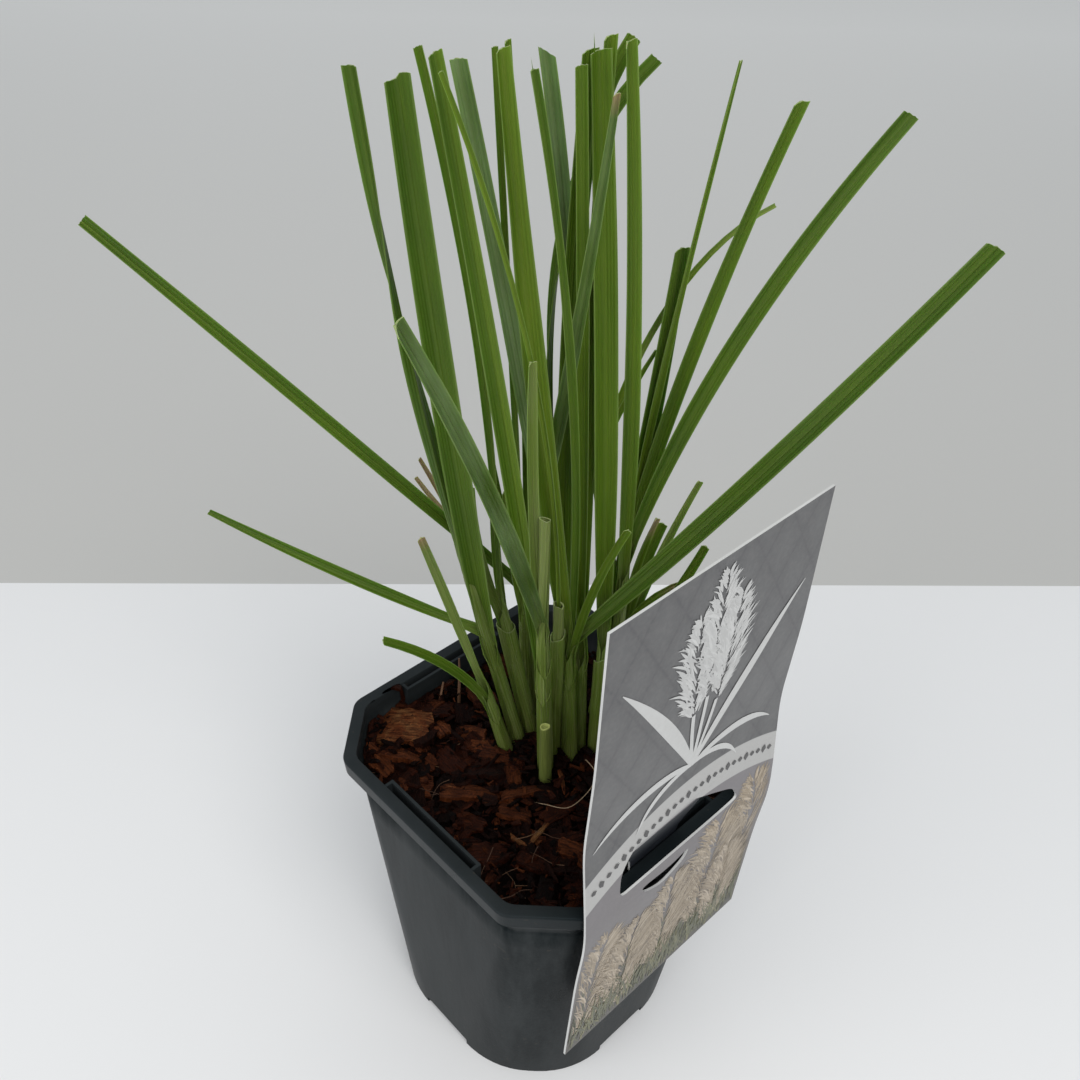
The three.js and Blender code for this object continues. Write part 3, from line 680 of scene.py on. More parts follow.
def leaf_rows(stem, one):
    """From under the bark up the stem and out along the blade: way, middle, direction, share of the blade."""
    (x, y), stem_lean, stem_heading, _ = stem
    at, length, lean, heading = one["at"], one["length"], one["lean"], one["heading"]
    up_stem = direction(stem_lean, stem_heading)
    foot = np.array([x, y, GROUND])
    stops = [*np.linspace(SHEATH_START, at - 8, max(int(at / 8), 3)), *np.linspace(at - 6, at - 1, 5)]
    rows = [(s, foot + up_stem * s, up_stem, 0.0) for s in stops]
    point = foot + up_stem * at
    rows.append((at, point, lerp(up_stem, direction(lean[0], heading), 0.5), 0.0))
    steps = max(int(length / LEAF_ROW_STEP), 8)
    for i in range(1, steps + 1):
        middle, share = ((i - 0.5) / steps) ** one["curl"], i / steps
        point = point + direction(lerp(*lean, middle), heading) * length / steps
        tangent = direction(lerp(*lean, share ** one["curl"]), heading)
        rows.append((at + share * length, point, tangent, share))
    return rows


def add_leaf(soup, stem, one, rank, number):
    """A sheath wrapped round its stem that opens into the blade's gutter."""
    at, length, width, dry = one["at"], one["length"], one["width"], one["dry"]
    top_radius = min(STEM_RADIUS + rank * SHEATH_STEP, STEM_RADIUS_LIMIT)
    rng = np.random.default_rng(977 * number + 13)
    phase, sway = rng.uniform(0, 6.28), rng.uniform(0.05, 0.16)
    slant = rng.normal(0.05, 0.07) if one["slant"] is None else one["slant"]
    crease = rng.uniform(-0.22, 0.22)
    fold = LEAF_FOLD * rng.uniform(0.9, 1.5)
    t = np.linspace(-1, 1, LEAF_COLUMNS)
    rows = leaf_rows(stem, one)
    fronts, backs, values = [], [], {}
    for index, (s, centre, tangent, share) in enumerate(rows):
        tangent = unit(tangent)
        turn = one["facing"] + one["twist"] * (share - 0.3)
        if one["twist"] > 100:
            turn += 0.13 * one["twist"] * math.sin(2 * math.pi * (share - 0.59))
        towards = direction(LEAF_FACE_LEAN, turn)
        face = unit(towards - towards.dot(tangent) * tangent)
        across = np.cross(tangent, face)
        radius = top_radius + SHEATH_TAPER * np.clip(1 - s / at, 0, 1.2)
        opened = smooth((s - (at - 5)) / SHEATH_OPENING)
        half_blade = leaf_spread(share, one["tip"]) * width / 2
        if one["rolled"]:
            opened = 0.0
            radius = lerp(radius, width / 2, smooth((s - at) / 8 + 0.5))
        # an arc across the leaf: nearly a full ring round the stem, and almost flat in the blade
        half = lerp(math.pi * radius * 0.97, half_blade, opened ** 0.4)
        curve = lerp(1 / radius, 0.22 / max(half_blade, 0.5), opened ** 1.5)
        angle = curve * half * t
        flat = np.sin(angle) / curve
        gutter = opened * fold * half * (np.sqrt((t - crease) ** 2 + 0.012) - 0.11)
        rise = (1 - np.cos(angle)) / curve + gutter
        ripple = opened * sway * np.sin(0.11 * s + phase + 1.7 * t) * np.abs(t)
        back = centre - face * radius * (1 - opened)
        # the cut end isn't quite straight
        skew = np.zeros(LEAF_COLUMNS)
        if index == len(rows) - 1 and one["rolled"]:
            skew = 0.5 * np.sin(3.3 * t + phase) + 0.22 * np.sin(13 * t + phase)
        elif index == len(rows) - 1:
            skew = slant * width * t + 0.08 * np.sin(9 * t + phase)
            skew = skew + one["notch"] * smooth((t - 0.05) / 0.2)
        normal = -np.sin(angle)[:, None] * across + np.cos(angle)[:, None] * face
        ring = back + flat[:, None] * across + (rise + ripple)[:, None] * face
        ring = ring + skew[:, None] * tangent
        thick = LEAF_SKIN * (1 - 0.45 * np.abs(t)) * (1 + 0.5 * np.exp(-(t * 6) ** 2))
        fronts.append(ring)
        backs.append(ring - normal * thick[:, None])
        near_end = (at + length - s - dry * 0.5) / max(dry, 1)
        row = dict(across=half * t, along=s, edge=np.abs(t) * opened, sheath=1 - smooth((s - at + 4) / 22),
                   half=opened * smooth((t - crease) / 0.12 + 0.5),
                   dry=float(dry > 0) * (1 - smooth(near_end)))
        for key, value in row.items():
            values.setdefault("leaf_" + key, []).append(np.broadcast_to(value, LEAF_COLUMNS))
    if one["sliver"]:
        # a thread of the blade that the shears left standing
        at_t, height = one["sliver"]
        ends = np.array([np.interp((at_t - 0.09, at_t + 0.09), t, fronts[-1][:, k]) for k in range(3)]).T
        middle = ends.mean(axis=0)
        points = np.array([*ends, middle - 0.15 * face, middle + height * tangent])
        soup.add(points, [[0, 1, 3], [1, 2, 3], [2, 0, 3], [0, 2, 1]], leaf_along=s, leaf_tint=0.3)
    # front, back, the two edges, and the cut end with points of its own
    n, m = len(rows), LEAF_COLUMNS
    points = np.concatenate([*fronts, *backs, fronts[-1], backs[-1]])
    faces = grid_faces(n, m) + [f[::-1] for f in grid_faces(n, m, start=n * m)]
    for i in range(n - 1):
        for j, way in ((0, 1), (m - 1, -1)):
            a, b = i * m + j, (i + 1) * m + j
            faces.append([a, b, b + n * m, a + n * m][::way])
    start = 2 * n * m
    faces += [[start + j, start + j + 1, start + m + j + 1, start + m + j] for j in range(m - 1)]
    # how much one half of the blade is painted paler: painted light on the fold
    pair = one["pair"] or rng.choice((-0.35, -0.2, 0.2, 0.35))
    values = {key: np.concatenate(2 * lines + 2 * lines[-1:]) for key, lines in values.items()}
    soup.add(points, faces, **values, leaf_pair=pair, leaf_end=np.repeat((0.0, 1.0), (2 * n * m, 2 * m)),
             leaf_tint=one["tint"], leaf_seed=float(number % 17) * 3.1)


# sheaths cut off round a stem: the stem's number, where the cut is, radius, flatness and the cut's turn
STUBS = [(3, 37, 2.4, 0.72, 2.4), (5, 44, 1.85, 0.9, 0.6), (8, 31, 2.05, 0.85, 5.1)]


def stem_frame(lean, heading, aside):
    """The direction along a stem and two across it, the first square to aside."""
    up_stem = direction(lean, heading)
    side = unit(np.cross(up_stem, aside))
    return up_stem, side, np.cross(up_stem, side)


def add_stub(soup, stem, top, radius, flat, turn):
    (x, y), stem_lean, stem_heading, _ = stem
    up_stem, side, other = stem_frame(stem_lean, stem_heading, direction(90, 223))
    foot = np.array([x, y, GROUND])
    profile = [(s, lerp(1.9, radius, smooth((s + 6) / 14)), 0.0) for s in np.linspace(-6, top - 0.4, 7)]
    profile += [(top, radius, 0.6), (top + 0.05, radius - 0.16, 1.0), (top - 0.5, radius - 0.3, 0.7),
                (top - 5.0, radius - 0.35, 0.0)]
    sides, points, across = 22, [], []
    for s, r, _ in profile:
        for a in ring_angles(sides):
            skew = (1.3 * math.cos(a - turn) + 0.3 * math.sin(3 * a + turn)) * smooth((s - top + 9) / 8)
            ridge = r * (1 + 0.02 * math.sin(5 * a + turn))
            point = foot + up_stem * (s + skew) + side * math.cos(a) * ridge
            points.append(point + other * math.sin(a) * ridge * flat)
            across.append(a * radius)
    along, _, end = np.repeat(profile, sides, axis=0).T
    faces = [f[::-1] for f in grid_faces(len(profile), sides, closed=True)]
    soup.add(points, faces, leaf_across=across, leaf_along=along, leaf_sheath=1.0, leaf_end=end,
             leaf_tint=0.75, leaf_seed=turn * 5)


def build_stems(material):
    number = 0
    for index, stem in enumerate(STEMS, 1):
        soup = Soup()
        for place, *stub in STUBS:
            if place == index:
                add_stub(soup, stem, *stub)
        for rank, one in enumerate(sorted(stem[3], key=lambda leaf: -leaf["at"])):
            number += 1
            add_leaf(soup, stem, one, rank, number)
        soup.piece(f"grass_{index:02d}", material, "leaves", node=f"leafy_stem_{index:02d}", sharp_angle=50)


CULM = dict(place=(-3.6, -2.4), lean=3, heading=170, height=19.0, radius=1.4)


def build_culm(material):
    soup = Soup()
    up_stem, side, other = stem_frame(CULM["lean"], CULM["heading"], (0.0, 1.0, 0.0))
    foot = np.array([*CULM["place"], GROUND])
    height, thick = CULM["height"], CULM["radius"]
    profile = [(s, thick + SHEATH_TAPER * (1 - s / 16), 0.0) for s in np.linspace(-7, height - 0.3, 8)]
    profile += [(height, thick - 0.1, 1.0), (height, thick * 0.72, 1.0), (height - 0.5, thick * 0.62, 0.7),
                (height - 0.5, 0.05, 0.5)]
    sides, points, across = 20, [], []
    for s, radius, cut in profile:
        for a in ring_angles(sides):
            ridge = radius * (1 + 0.05 * math.sin(3 * a + 0.4) + 0.03 * math.sin(7 * a))
            middle = foot + up_stem * (s + (0.25 * math.sin(a) if cut else 0))
            points.append(middle + (side * math.cos(a) + other * math.sin(a)) * ridge)
            across.append(a * radius)
    along, _, end = np.repeat(profile, sides, axis=0).T
    faces = [f[::-1] for f in grid_faces(len(profile), sides, closed=True)]
    soup.add(points, faces, leaf_across=across, leaf_along=along, leaf_end=end)
    soup.piece("old_culm", material, "culm", node="cut_culm", sharp_angle=50)


# ---- soil and bark --------------------------------------------------------------------------------

GAP, SOIL_TOP, BARK_TOP, BARK_CHIPS, BARK_SEED = 0.3, 84.0, 87.8, 100, 2107
BED_RINGS, SMALL_CHIPS, CHIPS_ROUND_STEMS, SHREDS, LOOSE_FIBRES, FULL_TURN = 40, 1150, 260, 1300, 60, 6.283
STEM_LINES = [(*place, *direction(lean, heading)) for place, lean, heading, _ in STEMS]
STEM_LINES.append((*CULM["place"], *direction(CULM["lean"], CULM["heading"])))
# where the stems are at the bark's level, and the room that chips leave round them
BARK_LEVEL, FOOT_RADIUS = 90.0, 2.15
FEET = np.array([(x + ux / uz * (BARK_LEVEL - GROUND), y + uy / uz * (BARK_LEVEL - GROUND))
                 for x, y, ux, uy, uz in STEM_LINES])


def keep_inside(points):
    """Moves points that lie outside the pot's hollow to its wall, and under the label straps."""
    p = np.array(points, float)
    share = np.clip((p[:, 2] - STEP_HEIGHT) / (RIM_BOTTOM - STEP_HEIGHT), 0, 1)
    half = lerp(STEP_SIDE - 2 * WALL, MOUTH_SIDE, share) / 2 - GAP - 0.05
    cut = RIM_CORNER_CUT - corner_loss((RIM_SIDE / 2 - half))
    for axis in (0, 1):
        p[:, axis] = np.clip(p[:, axis], -half, half)
    over = np.maximum(np.abs(p[:, 0]) + np.abs(p[:, 1]) - (2 * half - cut - 0.2), 0) / 2
    for axis in (0, 1):
        p[:, axis] -= np.sign(p[:, axis]) * over
    strap = MOUTH_SIDE / 2 - POCKET_GAP - POCKET_WALL - 0.4
    under = POT_HEIGHT - POCKET_SINK - POCKET_DEPTH - 0.3
    for a, b in ((0, 1), (1, 0)):
        near = (np.abs(p[:, a]) > strap) & (np.abs(p[:, b]) < POCKET_WIDTH / 2 + 0.6)
        p[near, 2] = np.minimum(p[near, 2], under)
    return p


def rotation(x, y, z):
    cx, sx, cy, sy, cz, sz = math.cos(x), math.sin(x), math.cos(y), math.sin(y), math.cos(z), math.sin(z)
    rx = np.array([[1, 0, 0], [0, cx, -sx], [0, sx, cx]])
    ry = np.array([[cy, 0, sy], [0, 1, 0], [-sy, 0, cy]])
    rz = np.array([[cz, -sz, 0], [sz, cz, 0], [0, 0, 1]])
    return rz @ ry @ rx


def chip_solid(soup, rng, length, width, thickness, taper, turn, place, tint):
    """A torn chip: an uneven slab with ragged ends and edges and a slight bend."""
    n, m = (9, 5) if length > 6 else (6, 3) if length > 3 else (4, 2)
    x = np.linspace(-0.5, 0.5, n)[:, None] * np.ones(m)
    y = np.linspace(-0.5, 0.5, m)[None, :] * np.ones(n)[:, None]
    narrow = lerp(1.0, taper, np.clip(x * 2, 0, 1))
    lx, ly = x * length, y * width * narrow
    end = np.clip((np.abs(x) - 0.32) / 0.18, 0, 1)
    lx = lx + end * rng.uniform(-1, 1, (1, m)) * length * 0.09 * np.sign(x)
    ly = ly + (np.abs(y) > 0.4) * rng.uniform(-1, 1, (n, m)) * width * 0.07
    bend = rng.uniform(-0.5, 0.5) * (1 - (2 * x) ** 2) * thickness * 0.6
    thin = 1 - 0.45 * np.maximum(end, (np.abs(2 * y) ** 4) * 0.8)
    top = bend + thickness / 2 * thin + rng.uniform(-0.13, 0.13, (n, m)) * thickness
    low = bend - thickness / 2 * thin + rng.uniform(-0.13, 0.13, (n, m)) * thickness
    points = np.concatenate([np.dstack([lx, ly, level]).reshape(-1, 3) for level in (top, low)])
    faces = [f[::-1] for f in grid_faces(n, m)] + grid_faces(n, m, start=n * m)
    edge = [*range(m)] + [i * m + m - 1 for i in range(1, n)]
    edge += [(n - 1) * m + j for j in range(m - 2, -1, -1)] + [i * m for i in range(n - 2, 0, -1)]
    for a, b in zip(edge, edge[1:] + edge[:1]):
        faces.append([a, b, b + n * m, a + n * m])
    soup.add(keep_inside(points @ turn.T + place), faces, chip_grain=points[:, 0], chip_side=points[:, 1],
             chip_tint=tint)


def near_stem(x, y, reach):
    return np.min(np.hypot(FEET[:, 0] - x, FEET[:, 1] - y)) < reach


def clear_of_stems(points):
    """Moves points that lie in a stem out to its side."""
    p = np.array(points, float)
    for fx, fy in FEET:
        away = p[:, :2] - (fx, fy)
        distance = np.maximum(np.hypot(*away.T), 1e-3)
        inside = distance < FOOT_RADIUS
        p[inside, :2] = (fx, fy) + away[inside] / distance[inside, None] * FOOT_RADIUS
    return p


def mound(x, y):
    """The bark's level: highest round the stems, and lower along the far walls."""
    crown = np.exp(-((x - 7) ** 2 + (y - 4) ** 2) / 23.0 ** 2)
    corner = smooth((y - 14) / 22) * smooth((12 - x) / 26)
    back, front = 0.8 * smooth((y - 20) / 18), 0.5 * smooth((-y - 15) / 20)
    return BARK_TOP - 0.6 + 3.3 * crown + back + front + 3.4 * corner


# chips that can be told apart: place, length, width, turn, taper, two tilts, thickness and tint
LARGE_CHIPS = [
    (-22.2, 33.6, 13.5, 11.8, -50, 0.7, 6, -5, 2.2, 0.93),
    (-9.6, 16.6, 6.4, 5.2, -45, 0.8, -5, 4, 1.6, 0.90),
    (-34.6, 30.0, 10.0, 5.6, -85, 0.6, 4, 10, 1.6, 0.86),
    (-29.3, 27.6, 11.5, 4.6, -53, 0.5, -16, 3, 2.2, 0.80),
    (-15.3, 41.0, 8.8, 6.0, -36, 0.7, 12, 8, 1.5, 0.62),
    (-12.5, 33.5, 9.0, 6.0, -44, 0.8, -8, 0, 1.6, 0.40),
    (-8.8, 4.2, 10.4, 4.6, -133, 0.8, 4, -9, 1.7, 0.74), (-31.0, 18.6, 9.0, 8.4, -47, 0.8, 5, 3, 1.8, 0.76),
    (-22.1, 6.7, 13.8, 5.4, -43, 0.5, -14, 4, 2.2, 0.80),
    (-12.6, -2.6, 11.0, 3.8, -31, 0.5, -10, -4, 1.8, 0.78),
    (-9.2, 11.4, 7.6, 4.9, -54, 0.6, 10, 0, 1.4, 0.70), (-28.0, -0.2, 8.6, 5.2, -64, 0.7, 8, -6, 1.8, 0.66),
    (-30.9, -10.2, 9.0, 6.2, -34, 0.7, 0, 8, 2.0, 0.58),
    (-15.3, 27.7, 6.2, 5.2, -84, 0.8, -6, -6, 1.6, 0.84),
    (-19.9, 17.1, 10.4, 5.6, -93, 0.6, 8, 4, 1.8, 0.55),
    (-17.7, -5.9, 8.6, 4.8, -58, 0.7, -8, 4, 1.8, 0.72),
    (-14.1, -24.1, 8.4, 4.6, -64, 0.6, 10, 4, 1.8, 0.82),
    (-24.2, -19.4, 7.4, 5.0, -72, 0.7, -6, 0, 1.8, 0.50),
    (-8.8, -13.4, 9.8, 4.0, -11, 0.6, 6, 0, 1.6, 0.62), (-17.0, -14.6, 8.6, 1.1, 8, 0.7, 0, -4, 0.9, 0.98),
    (-22.5, -13.4, 6.4, 1.1, -75, 0.7, 0, 6, 0.9, 0.96), (26.0, 26.0, 12.0, 8.0, 30, 0.7, 6, 4, 2.0, 0.80),
    (20.0, -24.0, 11.0, 8.0, 110, 0.7, -6, 4, 2.0, 0.72), (2.0, 30.0, 10.0, 7.0, 75, 0.8, 5, -4, 1.8, 0.66),
    (30.0, -8.0, 9.5, 7.0, 10, 0.6, -5, 6, 1.8, 0.84),
]


def build_bark(material):
    soup = Soup()
    rng = np.random.default_rng(41)
    # the bed: rings from the wall to the middle, rough on top, tinted near black as painted shade in the gaps
    # between the chips
    outline = np.array(inside_ring(BARK_TOP, GAP))
    low = np.array(inside_ring(SOIL_TOP + GAP, GAP))
    rings = [low * (0.0, 0.0, 1.0), low * (0.5, 0.5, 1.0), low, outline - (0, 0, 1.5)]
    for k in range(1, BED_RINGS + 1):
        ring = outline * (1 - k / BED_RINGS * 0.999, 1 - k / BED_RINGS * 0.999, 1.0)
        ring[:, :2] += rng.uniform(-0.3, 0.3, (len(ring), 2)) * (k < BED_RINGS - 4)
        ring[:, 2] = mound(ring[:, 0], ring[:, 1]) - 0.9 + rng.uniform(-0.8, 0.8, len(ring))
        rings.append(ring)
    points = np.concatenate(rings)
    soup.add(points, grid_faces(len(rings), len(outline), closed=True), chip_grain=points[:, 0] * 3,
             chip_side=points[:, 1] * 3, chip_tint=0.05)

    def chip(length, width, thickness, taper, turn, x, y, z, tint):
        start = len(soup.points)
        chip_solid(soup, rng, length, width, thickness, taper, turn, (x, y, z), tint)
        soup.points[start] = clear_of_stems(soup.points[start])

    for x, y, length, width, turn, taper, tilt_x, tilt_y, thickness, tint in LARGE_CHIPS:
        chip(length, width, thickness, taper, rotation(*np.radians((tilt_x, tilt_y, turn))),
             x, y, mound(x, y) + 2.1 - 0.3 * thickness, tint)
    # the chips of the CAD's layer
    draw = seeded(BARK_SEED)
    reach = MOUTH_SIDE - 6
    for _ in range(BARK_CHIPS):
        length = 7 + 9 * next(draw) ** 1.5
        width = length * (0.45 + 0.3 * next(draw))
        taper = 0.35 + 0.4 * next(draw)
        thickness = 1.6 + 1.6 * next(draw)
        rx = math.radians(44 * (next(draw) - 0.5))
        ry = math.radians(36 * (next(draw) - 0.5))
        rz = 2 * math.pi * next(draw)
        x = reach * (next(draw) - 0.5)
        y = reach * (next(draw) - 0.5)
        z = mound(x, y) + 1.2 * next(draw)
        tint = rng.beta(1.8, 2.6)
        if not near_stem(x, y, FOOT_RADIUS + 0.4 * width):
            chip(length * 0.92, width * 0.85, thickness * 0.75, taper, rotation(rx, ry, rz), x, y, z, tint)
    # smaller chips and slivers between them, lying round the stems where they are close
    for k in range(SMALL_CHIPS):
        sliver = k % 4 == 0
        length = rng.uniform(3.5, 8.0) if sliver else 1.6 + 4.6 * rng.random() ** 1.6
        width = length * (rng.uniform(0.12, 0.22) if sliver else rng.uniform(0.4, 0.85))
        if k < CHIPS_ROUND_STEMS:
            x, y = FEET[rng.integers(len(FEET))] + rng.normal(0, 4.6, 2)
            length, width = min(length, 3.6), min(width, 2.0)
        else:
            x, y = rng.uniform(-0.5, 0.5, 2) * (MOUTH_SIDE - 3.0)
        spin = rng.uniform(0, FULL_TURN)
        away = FEET - (x, y)
        distance = np.hypot(*away.T)
        nearest = np.argmin(distance)
        if distance[nearest] < FOOT_RADIUS + 0.35 * width + 0.1:
            continue
        if distance[nearest] < FOOT_RADIUS + 0.5 * length:
            spin = math.atan2(away[nearest, 1], away[nearest, 0]) + math.pi / 2
        turn = rotation(*np.radians(rng.normal(0, (22, 17))), spin)
        z = mound(x, y) + rng.uniform(-0.2, 2.2)
        chip(length, width, rng.uniform(0.5, 1.4), rng.uniform(0.3, 1.0), turn, x, y, z, rng.beta(1.3, 2.7))
    # shreds and crumbs on top
    for _ in range(SHREDS):
        x, y = rng.uniform(-0.5, 0.5, 2) * (MOUTH_SIDE - 2.0)
        length = rng.uniform(0.8, 2.9)
        if near_stem(x, y, FOOT_RADIUS + 0.5 * length):
            continue
        turn = rotation(*np.radians(rng.normal(0, (26, 22))), rng.uniform(0, FULL_TURN))
        chip(length, length * rng.uniform(0.15, 0.6), rng.uniform(0.25, 0.7), rng.uniform(0.3, 1.0), turn,
             x, y, mound(x, y) + rng.uniform(0.4, 2.9), rng.beta(1.3, 2.3))
    soup.piece("bark_chips", material, "bark", node="bark_mulch", sharp_angle=35)


# ---- label ----------------------------------------------------------------------------------------


def standing_out(z):
    """How far the sheet stands out from its plane, rounded where the side view has its bends."""
    heights, outs = np.array(SHEET_SIDE, float).T
    window = np.linspace(-5, 5, 11)
    z = np.atleast_1d(np.asarray(z, float))
    return np.interp(np.clip(z[:, None] + window, heights[0], heights[-1]), heights, outs).mean(axis=1)


def rounded(outline, passes):
    """A closed outline with its corners cut again and again."""
    p = np.array(outline, float)
    for _ in range(passes):
        q = np.roll(p, -1, axis=0)
        p = np.stack([0.8 * p + 0.2 * q, 0.2 * p + 0.8 * q], axis=1).reshape(-1, 2)
    return p


def strip_solid(heights, outs, x_low, x_high):
    """A strip of the sheet's thickness that follows a side view."""
    half, k = LABEL_THICKNESS / 2, len(heights)
    y = -(LABEL_OFFSET + outs)
    loop = [(y[i] - half, heights[i]) for i in range(k)]
    loop += [(y[i] + half, heights[i]) for i in reversed(range(k))]
    n = len(loop)
    points = [(x, a, b) for x in (x_low, x_high) for a, b in loop]
    faces = [[i, (i + 1) % n, (i + 1) % n + n, i + n] for i in range(n)]
    for i in range(k - 1):
        faces.append([i, n - 1 - i, n - 2 - i, i + 1])
        faces.append([n + i, n + i + 1, 2 * n - 2 - i, 2 * n - 1 - i])
    return points, faces


def punch(name, outline):
    """A solid that reaches through the label, with an outline seen from the front."""
    points, faces = prism(outline, -60.0, -30.0)
    return make_solid(name, [(x, y, z) for x, z, y in points], faces)


def build_label(print_material, card, shade):
    edges = LABEL_MIDDLE_X - LABEL_WIDTH / 2, LABEL_MIDDLE_X + LABEL_WIDTH / 2
    heights = np.linspace(SHEET_SIDE[0][0], SHEET_SIDE[-1][0], 61)
    sheet = make_solid("plant_label_sheet", *strip_solid(heights, standing_out(heights), *edges))
    carve(sheet, punch("hole", rounded(LABEL_HOLE, 2)), "DIFFERENCE")
    carve(sheet, punch("slit", rounded(LABEL_SLIT, 3)), "DIFFERENCE")
    heights = np.array([95.5, 98, 101, 103, 107, 111, 114, 116, 118.0])
    outs = np.interp(heights, *np.array(TONGUE_SIDE, float).T)
    tongue = make_solid("tongue", *strip_solid(heights, outs, -25, 15))
    carve(tongue, punch("tongue_front", rounded(TONGUE_FRONT, 3)), "INTERSECT")
    carve(sheet, tongue, "UNION")
    mesh = sheet.data
    for material in (print_material, card, shade):
        mesh.materials.append(material)
    # the front is printed, apart from the tongue behind it, which lies in shade and is painted near black as
    # painted shade in place of its print; all else is white
    for polygon in mesh.polygons:
        centre = (np.array(polygon.center) - ORIGIN) / MM
        plane = -(LABEL_OFFSET + standing_out(centre[2])[0])
        front = polygon.normal.y < -0.7
        behind = centre[1] > plane + 0.35
        polygon.material_index = 2 if front and behind else 0 if front else 1
    shade_smooth(mesh, 25)
    claim(sheet, "plant_label")


def bent_path(start, angle, length, bend, steps):
    """A path that starts at an angle from upright and turns by bend degrees."""
    path = [np.array(start, float)]
    for i in range(steps):
        a = math.radians(angle + bend * (i + 0.5) / steps)
        path.append(path[-1] + np.array([math.sin(a), math.cos(a)]) * length / steps)
    return path


class Print:
    """Strokes of ink just in front of the sheet, each a little in front of the last."""

    def __init__(self, seed):
        self.soup, self.rng, self.depth = Soup(), np.random.default_rng(seed), 0.015
        self.holes = [rounded(LABEL_HOLE, 1), rounded(LABEL_SLIT, 1)]

    def blocked(self, x, z):
        """Whether a point is off the sheet or in one of its holes."""
        if not (-LABEL_WIDTH / 2 + 0.4 < x < LABEL_WIDTH / 2 - 0.4 and 40.0 < z < 189.0):
            return True
        x = x + LABEL_MIDDLE_X
        for outline in self.holes:
            inside = False
            for (x1, z1), (x2, z2) in zip(outline, np.roll(outline, -1, axis=0)):
                if (z1 > z) != (z2 > z) and x < (x2 - x1) * (z - z1) / (z2 - z1) + x1:
                    inside = not inside
            if inside:
                return True
        return False

    def stroke(self, path, width, ink, shade, pointed=True):
        path = np.asarray(path, float)
        if any(self.blocked(x, z) for x, z in path):
            return
        run = directions(path)
        side = np.stack([-run[:, 1], run[:, 0]], axis=1)
        t = np.linspace(0, 1, len(path))
        half = width / 2 * (np.sin(math.pi * (0.12 + 0.86 * t)) if pointed else np.ones(len(path)))
        self.depth += 0.00003
        points = []
        for p in (path + side * half[:, None], path - side * half[:, None]):
            y = -(LABEL_OFFSET + standing_out(p[:, 1])) - LABEL_THICKNESS / 2 - self.depth
            points.append(np.stack([p[:, 0] + LABEL_MIDDLE_X, y, p[:, 1]], axis=1))
        self.soup.add(np.concatenate(points), grid_faces(2, len(path)), ink=ink, ink_shade=shade)

    def curve(self, start, angle, length, bend, width, ink, shade, steps=6, pointed=True):
        path = bent_path(start, angle, length, bend, steps)
        self.stroke(path, width, ink, shade, pointed)
        return path

    def blades(self, count, start_height, angle, lengths, bend, widths, shades):
        """Grass along the foot of the label."""
        rng = self.rng
        for _ in range(count):
            x = rng.uniform(-34, 34)
            self.curve((x, start_height[0] + rng.uniform(0, start_height[1])), rng.normal(0, angle),
                       rng.uniform(*lengths), rng.normal(0, bend), rng.uniform(*widths), GRASS,
                       rng.beta(*shades))

    def plume(self, start, angle, length, bend, breadth, strokes, ink, fine):
        """A feathery seed head round a curved axis."""
        steps = 24
        axis = np.array(bent_path(start, angle, length, bend, steps))
        for _ in range(strokes):
            t = self.rng.uniform(0.0, 0.97)
            near, rest = int(t * steps), (t * steps) % 1
            point = axis[near] * (1 - rest) + axis[min(near + 1, steps)] * rest
            lean = angle + bend * t
            hand = self.rng.choice((-1, 1))
            spread = breadth * math.sin(math.pi * (0.08 + 0.85 * t) ** 0.8)
            away = self.rng.uniform(0, 0.55) * spread
            a = math.radians(lean)
            point = point + hand * away * np.array([math.cos(a), -math.sin(a)])
            shade = np.clip(self.rng.normal(0.62 - 0.25 * away / max(breadth, 1), 0.2), 0, 1)
            self.curve(point, lean + hand * self.rng.uniform(8, 42),
                       self.rng.uniform(0.35, 1.0) * spread + 1.5, hand * self.rng.uniform(-5, 40),
                       self.rng.uniform(0.3, 0.75) * fine, ink, shade, steps=4)


